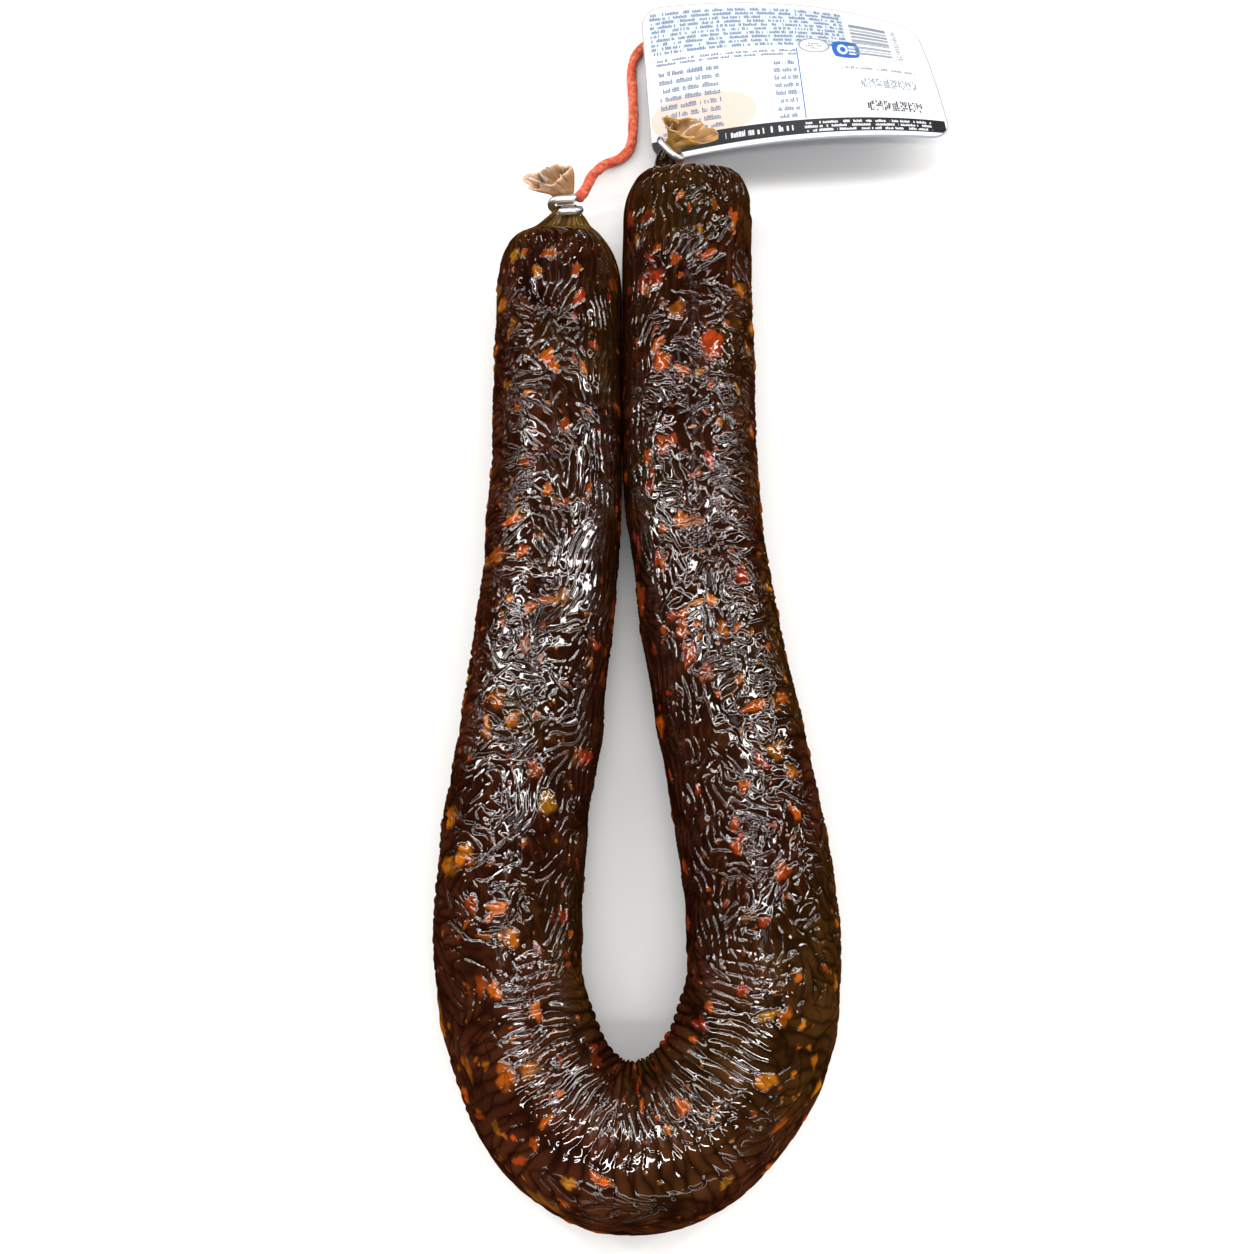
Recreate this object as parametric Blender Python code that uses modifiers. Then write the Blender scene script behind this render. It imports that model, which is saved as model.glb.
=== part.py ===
"""A horseshoe of dry-cured blood sausage with its two wire clips, hanging string and card label.

It lies flat, legs along Y, bend towards -Y. The casing is one piece: it is gathered at both
ends, passes through a clip and opens into a short flared tail.
"""

import math

import bmesh
import bpy
import numpy as np
from mathutils import Euler, Vector

MM = 0.001

# Where the middle of the object's base sits in the layout plan below, in millimetres.
BASE_X = 22.1
BASE_Y = 29.0

# Casing, in millimetres: how far it settles into a flat strip where it rests, its lumps, and the
# wall of its hollow tails, which keep at least a share of their width.
SETTLE = 0.4
LUMP = 0.16
LUMP_TURNS = (0.17, 0.31)
SEGMENTS = 26
TAIL_WALL = 0.8
TAIL_HOLLOW = 0.18
LINING_RINGS = 6
UPWARD = np.array((0.0, 0.0, 1.0))

# Plan of the middle line through both legs and the bend: x, y, radius.
BODY = [
    (-17.2, 86.0, 15.5),
    (-17.2, 62.0, 15.5),
    (-17.1, 34.0, 15.7),
    (-18.9, 4.0, 15.8),
    (-22.0, -27.0, 15.9),
    (-25.3, -56.0, 15.9),
    (-25.3, -72.0, 15.7),
    (-22.7, -86.0, 15.6),
    (-17.4, -98.0, 15.9),
    (-9.4, -106.8, 16.1),
    (1.2, -109.8, 16.2),
    (12.0, -107.0, 16.2),
    (20.8, -98.6, 16.3),
    (26.6, -87.0, 16.4),
    (28.9, -73.0, 16.4),
    (27.9, -54.0, 16.4),
    (23.2, -24.0, 16.2),
    (18.4, 6.0, 15.8),
    (15.5, 38.0, 16.0),
    (15.3, 70.0, 16.1),
    (15.4, 98.0, 16.1),
]
BEND_FIRST = 6
BEND_LAST = 14

# The gathered ends, from the leg outwards: x, y, height, half width, half thickness, then how far
# the ring leans back, how far its heading turns to the left and how far it twists, in degrees.
LEFT_END = [
    (-17.4, 94.0, 15.5, 14.9, 15.1, 3.0, 0.0, 0.0),
    (-17.7, 99.0, 16.1, 13.4, 13.9, 9.0, 0.0, 0.0),
    (-17.6, 102.4, 17.0, 11.2, 11.6, 17.0, 0.0, 0.0),
    (-17.1, 104.4, 18.1, 8.9, 8.2, 28.0, 0.0, 0.0),
    (-16.5, 105.3, 19.1, 6.8, 4.6, 36.0, 0.0, 0.0),
    (-15.9, 106.1, 20.1, 4.5, 2.0, 40.0, 0.0, 0.0),
    (-15.5, 109.0, 22.6, 2.2, 0.8, 40.0, 4.0, 0.0),
    (-15.8, 111.1, 24.3, 2.4, 0.9, 38.0, 18.0, 5.0),
    (-17.3, 112.2, 25.4, 4.0, 1.9, 36.0, 42.0, 12.0),
    (-19.4, 112.9, 26.4, 5.4, 2.6, 33.0, 50.0, 18.0),
    (-21.6, 113.3, 27.3, 6.6, 3.2, 30.0, 54.0, 20.0),
]
RIGHT_END = [
    (15.6, 106.0, 15.9, 16.1, 16.0, 2.0, 0.0, 0.0),
    (15.9, 113.1, 16.3, 15.9, 15.6, 6.0, 0.0, 0.0),
    (16.2, 117.8, 16.9, 14.5, 14.2, 13.0, 0.0, 0.0),
    (16.2, 121.1, 18.1, 12.2, 11.5, 24.0, 0.0, 0.0),
    (15.4, 122.1, 19.4, 9.6, 8.2, 35.0, 0.0, 0.0),
    (13.2, 121.4, 20.2, 6.0, 3.8, 42.0, -6.0, 0.0),
    (10.5, 122.1, 22.8, 2.8, 1.2, 44.0, -32.0, 0.0),
    (11.1, 123.6, 25.2, 2.1, 0.7, 42.0, -52.0, 0.0),
    (12.3, 124.3, 26.7, 2.5, 1.0, 38.0, -54.0, -3.0),
    (13.7, 124.9, 27.9, 4.4, 1.9, 35.0, -52.0, -6.0),
    (15.1, 125.4, 28.7, 5.8, 2.6, 32.0, -50.0, -8.0),
    (16.5, 125.9, 29.3, 6.9, 3.1, 30.0, -48.0, -8.0),
]
DOME_KNOTS = 5
CLIP_KNOT = {"left": 6, "right": 7}
GATHER_DEPTH = 0.12
PLEATS_BEFORE = 4.0
RIM_WAVE = 0.8

# Folds of the bend: their number, how deep they are on the inner and the outer side, and where
# they begin and reach full depth, from the bend's first knot, in millimetres.
FOLDS = 34
FOLDS_BEFORE = 8.0
FOLDS_FULL = 12.0
FOLD_INNER = 0.65
FOLD_OUTER = 0.12

# Clips: aluminium wire bent round the neck, in millimetres. The left clip's wire overlaps itself
# side by side, the right clip's ends almost meet.
CLIP_WIRE = 1.8
CLIP_HALF_LENGTH = 3.6
CLIP_HALF_HEIGHT = 2.15
CLIP_GAP = 0.8
CLIP_OVERLAP = 3.0
CLIP_TAIL_START = 2.2
CLIP_TAIL_END = 1.1
CLIP_ARC_POINTS = 6

# String, in millimetres, from behind the left clip to the right neck.
STRING_DIAMETER = 2.8
STRING_STEP = 4.0
STRING_ROUTE = [
    (-12.2, 113.4, 19.6),
    (-11.7, 114.6, 18.9),
    (-11.1, 116.3, 17.9),
    (-10.3, 119.7, 15.8),
    (-9.5, 124.8, 12.4),
    (-7.8, 132.0, 6.4),
    (-5.0, 137.2, 2.6),
    (-1.9, 139.6, 1.5),
    (0.4, 142.2, 1.5),
    (1.6, 148.0, 1.5),
    (1.8, 157.0, 1.5),
    (1.4, 166.0, 1.5),
    (2.2, 173.6, 1.5),
    (6.4, 178.4, 1.5),
    (12.8, 177.8, 1.5),
    (17.0, 172.0, 1.5),
    (18.2, 162.0, 1.5),
    (17.4, 151.0, 1.5),
    (15.6, 142.4, 1.6),
    (13.4, 136.4, 2.6),
    (12.0, 132.6, 5.2),
    (11.2, 130.4, 8.8),
    (11.0, 129.9, 12.8),
    (11.1, 129.9, 17.0),
    (11.4, 129.4, 20.6),
    (11.7, 128.6, 23.2),
]

# Label, in millimetres: a card that arches over a diagonal and leans on the right end.
LABEL_LENGTH = 80.0
LABEL_HEIGHT = 50.0
LABEL_THICK = 0.5
LABEL_CORNER = 6.0
LABEL_CENTRE = (44.9, 158.7, 14.2)
LABEL_ARCH_RADIUS = 125.0
LABEL_ARCH_ANGLE = 32.1
LABEL_TURN = 2.7
LABEL_DIP = 1.1
LABEL_TILT = -6.0
LABEL_CORNER_CURL = 1.2


def clear_scene():
    for item in list(bpy.data.objects):
        bpy.data.objects.remove(item, do_unlink=True)


def plain_material(name, colour, roughness, metallic=0.0):
    material = bpy.data.materials.new(name)
    material.use_nodes = True
    shader = material.node_tree.nodes["Principled BSDF"]
    shader.inputs["Base Color"].default_value = (*colour, 1.0)
    shader.inputs["Roughness"].default_value = roughness
    shader.inputs["Metallic"].default_value = metallic
    return material


def in_frame(point):
    """A point of the layout plan, in metres from the middle of the object's base."""
    return np.array([point[0] - BASE_X, point[1] - BASE_Y, point[2]]) * MM


def chord_lengths(points):
    steps = np.linalg.norm(np.diff(points, axis=0), axis=1)
    return np.concatenate([[0.0], np.cumsum(steps)])


def natural_spline(rows, along, at):
    """Values at the given distances of the natural cubic spline through rows at the distances along."""
    rows = np.asarray(rows, dtype=float)
    count = len(rows)
    gap = np.diff(along)
    system = np.eye(count)
    wanted = np.zeros_like(rows)
    for i in range(1, count - 1):
        system[i, i - 1] = gap[i - 1]
        system[i, i] = 2.0 * (gap[i - 1] + gap[i])
        system[i, i + 1] = gap[i]
        slope_after = (rows[i + 1] - rows[i]) / gap[i]
        slope_before = (rows[i] - rows[i - 1]) / gap[i - 1]
        wanted[i] = 6.0 * (slope_after - slope_before)
    second = np.linalg.solve(system, wanted)
    i = np.clip(np.searchsorted(along, at) - 1, 0, count - 2)
    width = gap[i][:, None]
    low = (along[i + 1] - at)[:, None] / width
    high = (at - along[i])[:, None] / width
    cubic_low = (low**3 - low) * width**2 / 6.0
    cubic_high = (high**3 - high) * width**2 / 6.0
    return low * rows[i] + high * rows[i + 1] + cubic_low * second[i] + cubic_high * second[i + 1]


def casing_knots():
    """Rows of the tables above in one line, from the left tail to the right tail."""
    body = [(x, y, radius - SETTLE, radius, radius, 0.0, 0.0, 0.0) for x, y, radius in BODY]
    return np.array(LEFT_END[::-1] + body + RIGHT_END)


def station_distances(along):
    """Distances of the rings: close together in the bend and the gathered ends, wider on the legs."""
    first_leg = len(LEFT_END)
    last_leg = first_leg + len(BODY) - 1
    spans = [
        (0, first_leg - DOME_KNOTS, 12),
        (first_leg - DOME_KNOTS, first_leg, 9),
        (first_leg, first_leg + BEND_FIRST, 23),
        (first_leg + BEND_FIRST, first_leg + BEND_LAST, 2 * FOLDS),
        (first_leg + BEND_LAST, last_leg, 24),
        (last_leg, last_leg + DOME_KNOTS, 9),
        (last_leg + DOME_KNOTS, len(along) - 1, 13),
    ]
    distances = [np.linspace(along[start], along[end], count, endpoint=False) for start, end, count in spans]
    return np.concatenate(distances + [[along[-1]]])


def ring_frame(heading, outward, lean, turn, twist):
    """A ring's direction, sideways and upward vectors. Outward is -1 where the casing runs inwards."""
    lean, turn, twist = np.radians((lean, turn, twist))
    x, y = heading * outward
    turned = np.array((x * math.cos(turn) - y * math.sin(turn), x * math.sin(turn) + y * math.cos(turn), 0.0))
    direction = outward * (turned * math.cos(lean) + UPWARD * math.sin(lean))
    up = UPWARD * math.cos(lean) - turned * math.sin(lean)
    side = np.cross(direction, up)
    twist *= outward
    turned_side = side * math.cos(twist) + up * math.sin(twist)
    return direction, turned_side, np.cross(turned_side, direction)


def plan_headings(centres, outward):
    """The legs' direction in plan at each ring; beyond the legs it stays parallel to Y."""
    headings = np.gradient(centres[:, :2], axis=0)
    headings /= np.linalg.norm(headings, axis=1)[:, None]
    past_leg = outward != 0.0
    headings[past_leg, 0] = 0.0
    headings[past_leg, 1] = outward[past_leg]
    return headings


def ring_angles():
    """Angles of a ring's points, from the side that rests on the surface, with a flat facet there."""
    return 2.0 * math.pi * (np.arange(SEGMENTS) + 0.5) / SEGMENTS - 0.5 * math.pi


def casing_ring(centre, frame, half_width, half_thick, relief, wave):
    """One ring of points. Relief holds an inward shift for each point, wave a shift along the casing."""
    direction, side, up = frame
    angles = ring_angles()
    across = (half_width - relief) * np.cos(angles)
    above = (half_thick - relief * half_thick / half_width) * np.sin(angles)
    ahead = wave * np.cos(3.0 * angles + 1.0)
    ring = centre + np.outer(across, side) + np.outer(above, up) + np.outer(ahead, direction)
    ring[:, 2] = np.maximum(ring[:, 2], 0.0)
    return ring


def casing_relief(distance, index, radius, bend, gather):
    """How far each point of a ring lies inside the plain tube: lumps, bend folds and gathered pleats."""
    angles = ring_angles()
    long_lumps = np.sin(distance * LUMP_TURNS[0] + 2.0 * angles)
    short_lumps = np.sin(distance * LUMP_TURNS[1] - 3.0 * angles + 1.3)
    relief = 0.5 * LUMP * (long_lumps + short_lumps)
    inner = 0.5 - 0.5 * np.cos(angles)
    depth = FOLD_OUTER + (FOLD_INNER - FOLD_OUTER) * inner
    folds = bend * depth * (index % 2)
    pleats = gather * GATHER_DEPTH * radius * (np.arange(SEGMENTS) % 2)
    return relief + folds + pleats


def blend(value, start, end):
    """Smooth step from 0 at start to 1 at end."""
    t = min(max((value - start) / (end - start), 0.0), 1.0)
    return t * t * (3.0 - 2.0 * t)


def casing_layout():
    """The rings of the whole casing, and the place of each clip: its centre and frame."""
    knots = casing_knots()
    along = chord_lengths(knots[:, :3])
    at = station_distances(along)
    rows = natural_spline(knots, along, at)
    centres = rows[:, :3]
    first_leg = len(LEFT_END)
    last_leg = first_leg + len(BODY) - 1
    ends = (at > along[last_leg]).astype(float) - (at < along[first_leg])
    headings = plan_headings(centres, ends)
    necks = {
        "clip_left": along[first_leg - 1 - CLIP_KNOT["left"]],
        "clip_right": along[last_leg + 1 + CLIP_KNOT["right"]],
    }
    bend_start = along[first_leg + BEND_FIRST]
    bend_end = along[first_leg + BEND_LAST]
    rings = []
    clips = {}
    for i, distance in enumerate(at):
        outward = ends[i] if ends[i] else 1.0
        frame = ring_frame(headings[i], outward, *rows[i, 5:])
        half_width, half_thick = rows[i, 3:5]
        bend = blend(distance, bend_start - FOLDS_BEFORE, bend_start + FOLDS_FULL)
        bend *= blend(distance, bend_end + FOLDS_BEFORE, bend_end - FOLDS_FULL)
        gather = blend(distance, along[first_leg] + PLEATS_BEFORE, necks["clip_left"])
        gather += blend(distance, along[last_leg] - PLEATS_BEFORE, necks["clip_right"])
        relief = casing_relief(distance, i, half_width, bend, gather)
        rim = blend(distance, along[2], along[0]) + blend(distance, along[-3], along[-1])
        rings.append(casing_ring(centres[i], frame, half_width, half_thick, relief, rim * RIM_WAVE))
        for name, neck in necks.items():
            offset = abs(distance - neck)
            if name not in clips or offset < clips[name][0]:
                clips[name] = (offset, centres[i], frame)
    linings = {
        "left": [tail_lining(centres[i], rings[i]) for i in range(LINING_RINGS)],
        "right": [tail_lining(centres[-1 - i], rings[-1 - i]) for i in range(LINING_RINGS)],
    }
    return rings, clips, linings


def tail_lining(centre, ring):
    """The inner face of a flared tail: the outer ring drawn in by the thickness of the gathered casing."""
    outward = ring - centre
    reach = np.linalg.norm(outward, axis=1)
    kept = np.maximum(reach - TAIL_WALL, TAIL_HOLLOW * reach)
    return centre + outward * (kept / reach)[:, None]


def build_sausage(collection, rings, linings):
    """One closed skin: the outer rings, turned in at both rims and closed deep inside each tail."""
    loop_rings = linings["left"][::-1] + rings + linings["right"]
    mesh_data = bmesh.new()
    rows = [[mesh_data.verts.new(in_frame(p)) for p in ring] for ring in loop_rings]
    for before, after in zip(rows, rows[1:]):
        for j in range(SEGMENTS):
            k = (j + 1) % SEGMENTS
            mesh_data.faces.new((before[j], before[k], after[k], after[j]))
    for row, ring, flip in ((rows[0], loop_rings[0], True), (rows[-1], loop_rings[-1], False)):
        centre = mesh_data.verts.new(in_frame(np.mean(ring, axis=0)))
        for j in range(SEGMENTS):
            k = (j + 1) % SEGMENTS
            corners = (row[k], row[j], centre) if flip else (row[j], row[k], centre)
            mesh_data.faces.new(corners)
    bmesh.ops.recalc_face_normals(mesh_data, faces=mesh_data.faces)
    mesh = bpy.data.meshes.new("sausage")
    mesh_data.to_mesh(mesh)
    mesh_data.free()
    mesh.shade_smooth()
    sausage = bpy.data.objects.new("sausage", mesh)
    mesh.materials.append(plain_material("casing", (0.06, 0.018, 0.011), 0.22))
    collection.objects.link(sausage)
    return sausage


def tube(collection, name, points, diameter, material):
    """A round wire or cord through points, with filled ends."""
    curve = bpy.data.curves.new(name, "CURVE")
    curve.dimensions = "3D"
    curve.bevel_depth = 0.5 * diameter * MM
    curve.bevel_resolution = 2
    curve.use_fill_caps = True
    spline = curve.splines.new("POLY")
    spline.points.add(len(points) - 1)
    for spot, point in zip(spline.points, points):
        spot.co = (*in_frame(point), 1.0)
    curve.materials.append(material)
    item = bpy.data.objects.new(name, curve)
    collection.objects.link(item)
    return item


def clip_path(centre, frame):
    """The wire's middle line: two bars and two round ends about the neck, open by a small gap on one end."""
    side, up = frame[1:]
    straight = CLIP_HALF_LENGTH - CLIP_HALF_HEIGHT
    gap_angle = math.asin(0.5 * CLIP_GAP / CLIP_HALF_HEIGHT) + math.asin(0.5 * CLIP_WIRE / CLIP_HALF_HEIGHT)
    points = []
    quarter = 0.5 * math.pi
    arcs = [
        (-straight, 2.0 * quarter + gap_angle, 3.0 * quarter),
        (straight, -quarter, quarter),
        (-straight, quarter, 2.0 * quarter - gap_angle),
    ]
    for middle, low, high in arcs:
        for angle in np.linspace(low, high, CLIP_ARC_POINTS):
            across = middle + CLIP_HALF_HEIGHT * math.cos(angle)
            above = CLIP_HALF_HEIGHT * math.sin(angle)
            points.append(centre + side * across + up * above)
    return points


def overlapped_clip_path(centre, frame):
    """The wire's middle line where its ends pass each other: one and a half turns with two bars on top."""
    direction, side, up = frame
    straight = CLIP_HALF_LENGTH - CLIP_HALF_HEIGHT
    half_step = 0.5 * CLIP_OVERLAP
    quarter = 0.5 * math.pi
    spots = [(-CLIP_TAIL_START, CLIP_HALF_HEIGHT, half_step)]
    for angle in np.linspace(quarter, -quarter, CLIP_ARC_POINTS):
        across = straight + CLIP_HALF_HEIGHT * math.cos(angle)
        spots.append((across, CLIP_HALF_HEIGHT * math.sin(angle), half_step * math.sin(angle)))
    for angle in np.linspace(-quarter, -3.0 * quarter, CLIP_ARC_POINTS):
        across = -straight + CLIP_HALF_HEIGHT * math.cos(angle)
        spots.append((across, CLIP_HALF_HEIGHT * math.sin(angle), -half_step))
    spots.append((CLIP_TAIL_END, CLIP_HALF_HEIGHT, -half_step))
    return [centre + side * across + up * above + direction * ahead for across, above, ahead in spots]


def build_clips(collection, clips):
    aluminium = plain_material("clip_wire", (0.80, 0.80, 0.82), 0.3, metallic=1.0)
    paths = {"clip_left": overlapped_clip_path, "clip_right": clip_path}
    for name, (_, centre, frame) in clips.items():
        tube(collection, name, paths[name](centre, frame), CLIP_WIRE, aluminium)


def build_string(collection):
    route = np.array(STRING_ROUTE)
    along = chord_lengths(route)
    count = int(round(along[-1] / STRING_STEP)) + 1
    points = natural_spline(route, along, np.linspace(0.0, along[-1], count))
    points[:, 2] = np.maximum(points[:, 2], 0.5 * STRING_DIAMETER)
    twine = plain_material("twine", (0.75, 0.10, 0.04), 0.8)
    return tube(collection, "string", points, STRING_DIAMETER, twine)


def label_point(along, above):
    """A point of the card, from its place on the flat card measured from the middle."""
    arch = math.radians(LABEL_ARCH_ANGLE)
    over = along * math.cos(arch) + above * math.sin(arch)
    beside = -along * math.sin(arch) + above * math.cos(arch)
    bent = LABEL_ARCH_RADIUS * math.sin(over / LABEL_ARCH_RADIUS)
    sink = LABEL_ARCH_RADIUS * (1.0 - math.cos(over / LABEL_ARCH_RADIUS))
    curl = (along / LABEL_LENGTH + 0.5) * (above / LABEL_HEIGHT + 0.5)
    across = bent * math.cos(arch) - beside * math.sin(arch)
    away = bent * math.sin(arch) + beside * math.cos(arch)
    spot = Vector((across, away, -sink - LABEL_CORNER_CURL * curl**3))
    spot.rotate(label_turn())
    return spot + Vector(LABEL_CENTRE)


def label_turn():
    return Euler([math.radians(angle) for angle in (LABEL_TILT, LABEL_DIP, LABEL_TURN)], "XYZ")


def rounded(along, above):
    """Moves a point of the square-cornered card so that its corners become round."""
    reach_x = 0.5 * LABEL_LENGTH - LABEL_CORNER
    reach_y = 0.5 * LABEL_HEIGHT - LABEL_CORNER
    past_x = max(abs(along) - reach_x, 0.0)
    past_y = max(abs(above) - reach_y, 0.0)
    if past_x == 0.0 or past_y == 0.0:
        return along, above
    shrink = max(past_x, past_y) / math.hypot(past_x, past_y)
    new_x = reach_x + past_x * shrink
    new_y = reach_y + past_y * shrink
    return math.copysign(new_x, along), math.copysign(new_y, above)


def build_label(collection):
    mesh_data = bmesh.new()
    bmesh.ops.create_grid(mesh_data, x_segments=16, y_segments=10, size=0.5)
    for vert in mesh_data.verts:
        along, above = rounded(vert.co.x * LABEL_LENGTH, vert.co.y * LABEL_HEIGHT)
        vert.co = in_frame(label_point(along, above))
    mesh = bpy.data.meshes.new("label")
    mesh_data.to_mesh(mesh)
    mesh_data.free()
    mesh.materials.append(plain_material("card", (0.92, 0.93, 0.95), 0.45))
    label = bpy.data.objects.new("label", mesh)
    collection.objects.link(label)
    wall = label.modifiers.new("thickness", "SOLIDIFY")
    wall.thickness = LABEL_THICK * MM
    wall.offset = 0.0
    return label


def build_object():
    clear_scene()
    collection = bpy.data.collections.new("blood_sausage")
    bpy.context.scene.collection.children.link(collection)
    rings, clips, linings = casing_layout()
    build_sausage(collection, rings, linings)
    build_clips(collection, clips)
    build_string(collection)
    build_label(collection)


build_object()
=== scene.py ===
# Looks of a horseshoe of dry-cured blood sausage with its clips, string and card label
import math
import bpy
import numpy as np
from mathutils import Euler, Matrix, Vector


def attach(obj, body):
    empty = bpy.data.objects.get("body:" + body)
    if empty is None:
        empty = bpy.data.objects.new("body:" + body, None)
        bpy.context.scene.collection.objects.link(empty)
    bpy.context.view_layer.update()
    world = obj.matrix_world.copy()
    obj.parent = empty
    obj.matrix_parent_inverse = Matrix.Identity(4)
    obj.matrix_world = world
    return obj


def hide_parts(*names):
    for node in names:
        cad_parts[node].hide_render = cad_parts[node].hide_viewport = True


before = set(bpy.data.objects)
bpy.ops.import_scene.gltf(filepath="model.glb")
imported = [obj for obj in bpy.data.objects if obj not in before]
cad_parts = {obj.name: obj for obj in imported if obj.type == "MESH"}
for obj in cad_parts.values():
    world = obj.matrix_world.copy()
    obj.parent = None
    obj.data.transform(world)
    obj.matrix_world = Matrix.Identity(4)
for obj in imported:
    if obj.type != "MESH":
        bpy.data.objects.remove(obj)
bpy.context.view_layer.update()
print("frame loaded:", sorted(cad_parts))

mm = 0.001
anyPhase = (0.0, 6.28)    # of a wave, in radians
tiny = 1e-9
layout = {"baseX": 22.1, "baseY": 29.0}    # the middle of the object's base in the layout plan, in mm


def inFrame(points):    # layout plan in mm to the object's frame in metres
    return (np.asarray(points, dtype=float) - (layout["baseX"], layout["baseY"], 0.0)) * mm


def clearSelection():
    if bpy.context.object and bpy.context.object.mode != "OBJECT":
        bpy.ops.object.mode_set(mode="OBJECT")
    bpy.ops.object.select_all(action="DESELECT")


def smoothStep(value, start, end):
    t = np.clip((value - start) / (end - start), 0.0, 1.0)
    return t * t * (3.0 - 2.0 * t)


camera = {"place": (-0.0221, -0.1086, 0.2763), "tilt": 17.0, "lens": 34.0, "near": 0.01, "far": 20.0}

onSausage = (-0.02, 0.05, 0.0)    # where most lights aim
daylight = (1.0, 0.99, 0.97)
lights = {    # place and aim, size across and along, all in metres, then watts and colour
    "leftStrip": ((-0.31, 0.20, 0.66), onSausage, (0.020, 1.15), 2.7, daylight),
    "rightStrip": ((0.27, 0.20, 0.66), onSausage, (0.020, 1.15), 2.7, daylight),
    "leftLow": ((-0.66, 0.20, 0.36), onSausage, (0.036, 1.15), 3.8, daylight),
    "rightLow": ((0.62, 0.20, 0.36), onSausage, (0.036, 1.15), 3.8, daylight),
    "backStrip": ((-0.02, 0.95, 0.62), onSausage, (0.60, 0.022), 1.7, (1.0, 1.0, 1.0)),
    "frontStrip": ((-0.02, -0.42, 0.78), (-0.02, 0.0, 0.0), (0.60, 0.025), 2.4, (1.0, 1.0, 1.0)),
    "frontLow": ((0.05, -0.70, 0.28), (0.0, 0.10, 0.0), (1.1, 0.05), 3.0, (1.0, 0.97, 0.94)),
    "ceiling": ((-0.02, 0.25, 0.85), (-0.02, 0.25, 0.0), (0.10, 0.95), 0.30, (0.80, 0.88, 1.0)),
}
studioAir = {"Color": (1.0, 0.95, 0.9, 1.0), "Strength": 0.7}


def addCamera():
    bpy.ops.object.camera_add(location=camera["place"], rotation=(math.radians(camera["tilt"]), 0.0, 0.0))
    made = bpy.context.object
    made.data.lens = camera["lens"]
    made.data.clip_start = camera["near"]
    made.data.clip_end = camera["far"]
    bpy.context.scene.camera = made


def addLights():
    for name, (place, aim, size, watts, colour) in lights.items():
        bpy.ops.object.light_add(type="AREA", location=place)
        lamp = bpy.context.object
        lamp.name = name + "Light"
        lamp.data.shape = "RECTANGLE"
        lamp.data.size, lamp.data.size_y = size
        lamp.data.energy = watts
        lamp.data.color = colour
        lamp.rotation_euler = (Vector(aim) - Vector(place)).to_track_quat("-Z", "Y").to_euler()
    world = bpy.data.worlds.new("studio")
    world.use_nodes = True
    for key, value in studioAir.items():
        world.node_tree.nodes["Background"].inputs[key].default_value = value
    bpy.context.scene.world = world
    world.cycles_visibility.glossy = False    # fills the shadows without a veil on the wet skin
    bpy.context.scene.view_settings.view_transform = "Standard"


addCamera()
addLights()
print("camera and lights placed")


def newMaterial(name, sockets):    # sockets are the shader's own, the same all over the surface
    made = bpy.data.materials.new(name)
    made.use_nodes = True
    shader = made.node_tree.nodes["Principled BSDF"]
    for key, value in sockets.items():
        shader.inputs[key].default_value = value
    return made, made.node_tree, shader


def fillSocket(tree, socket, value):    # with a link from another socket or with a value
    if isinstance(value, bpy.types.NodeSocket):
        tree.links.new(value, socket)
    else:
        socket.default_value = value


def addNode(tree, kind, inputs=None, **settings):
    made = tree.nodes.new(kind)
    for key, value in settings.items():
        setattr(made, key, value)
    for key, value in (inputs or {}).items():
        fillSocket(tree, made.inputs[key], value)
    return made


def mathNode(tree, operation, *values, clamp=False):
    made = addNode(tree, "ShaderNodeMath", dict(enumerate(values)), operation=operation, use_clamp=clamp)
    return made.outputs[0]


def vectorNode(tree, operation, *values):
    return addNode(tree, "ShaderNodeVectorMath", dict(enumerate(values)), operation=operation).outputs[0]


def lengthNode(tree, value):
    return addNode(tree, "ShaderNodeVectorMath", {0: value}, operation="LENGTH").outputs["Value"]


def newGroup(name, given, shown):    # with sockets by name and kind, and the nodes that hold them
    group = bpy.data.node_groups.new(name, "ShaderNodeTree")
    for way, sockets in (("INPUT", given), ("OUTPUT", shown)):
        for key, kind in sockets.items():
            group.interface.new_socket(key, in_out=way, socket_type="NodeSocket" + kind)
    return group, group.nodes.new("NodeGroupInput").outputs, group.nodes.new("NodeGroupOutput").inputs


def attribute(tree, name):
    return addNode(tree, "ShaderNodeAttribute", attribute_name=name).outputs["Fac"]


def mixColour(tree, factor, first, second):
    made = addNode(tree, "ShaderNodeMix", data_type="RGBA")
    for number, value in ((0, factor), (6, first), (7, second)):
        fillSocket(tree, made.inputs[number], (*value, 1.0) if isinstance(value, tuple) else value)
    return made.outputs[2]


grainLook = {"cloudDetail": 4.0, "contrast": (2.6, -0.8), "finer": 3.0, "detail": 3.0, "depth": 0.2 * mm}


def grainTree():    # uneven tint and fine grain, shared by every material of the object
    group, given, shown = newGroup("surfaceGrain", {"Scale": "Float", "Strength": "Float"},
                                   {"Cloud": "Float", "Normal": "Vector"})
    coords = addNode(group, "ShaderNodeTexCoord").outputs["Object"]
    cloud = addNode(group, "ShaderNodeTexNoise",
                    {"Vector": coords, "Scale": given["Scale"], "Detail": grainLook["cloudDetail"]})
    wide = mathNode(group, "MULTIPLY_ADD", cloud.outputs["Fac"], *grainLook["contrast"], clamp=True)
    fine = mathNode(group, "MULTIPLY", given["Scale"], grainLook["finer"])
    grain = addNode(group, "ShaderNodeTexNoise",
                    {"Vector": coords, "Scale": fine, "Detail": grainLook["detail"]})
    bump = addNode(group, "ShaderNodeBump", {"Height": grain.outputs["Fac"], "Strength": given["Strength"],
                                             "Distance": grainLook["depth"]})
    group.links.new(wide, shown["Cloud"])
    group.links.new(bump.outputs["Normal"], shown["Normal"])
    return group


grainGroup = grainTree()


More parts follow.
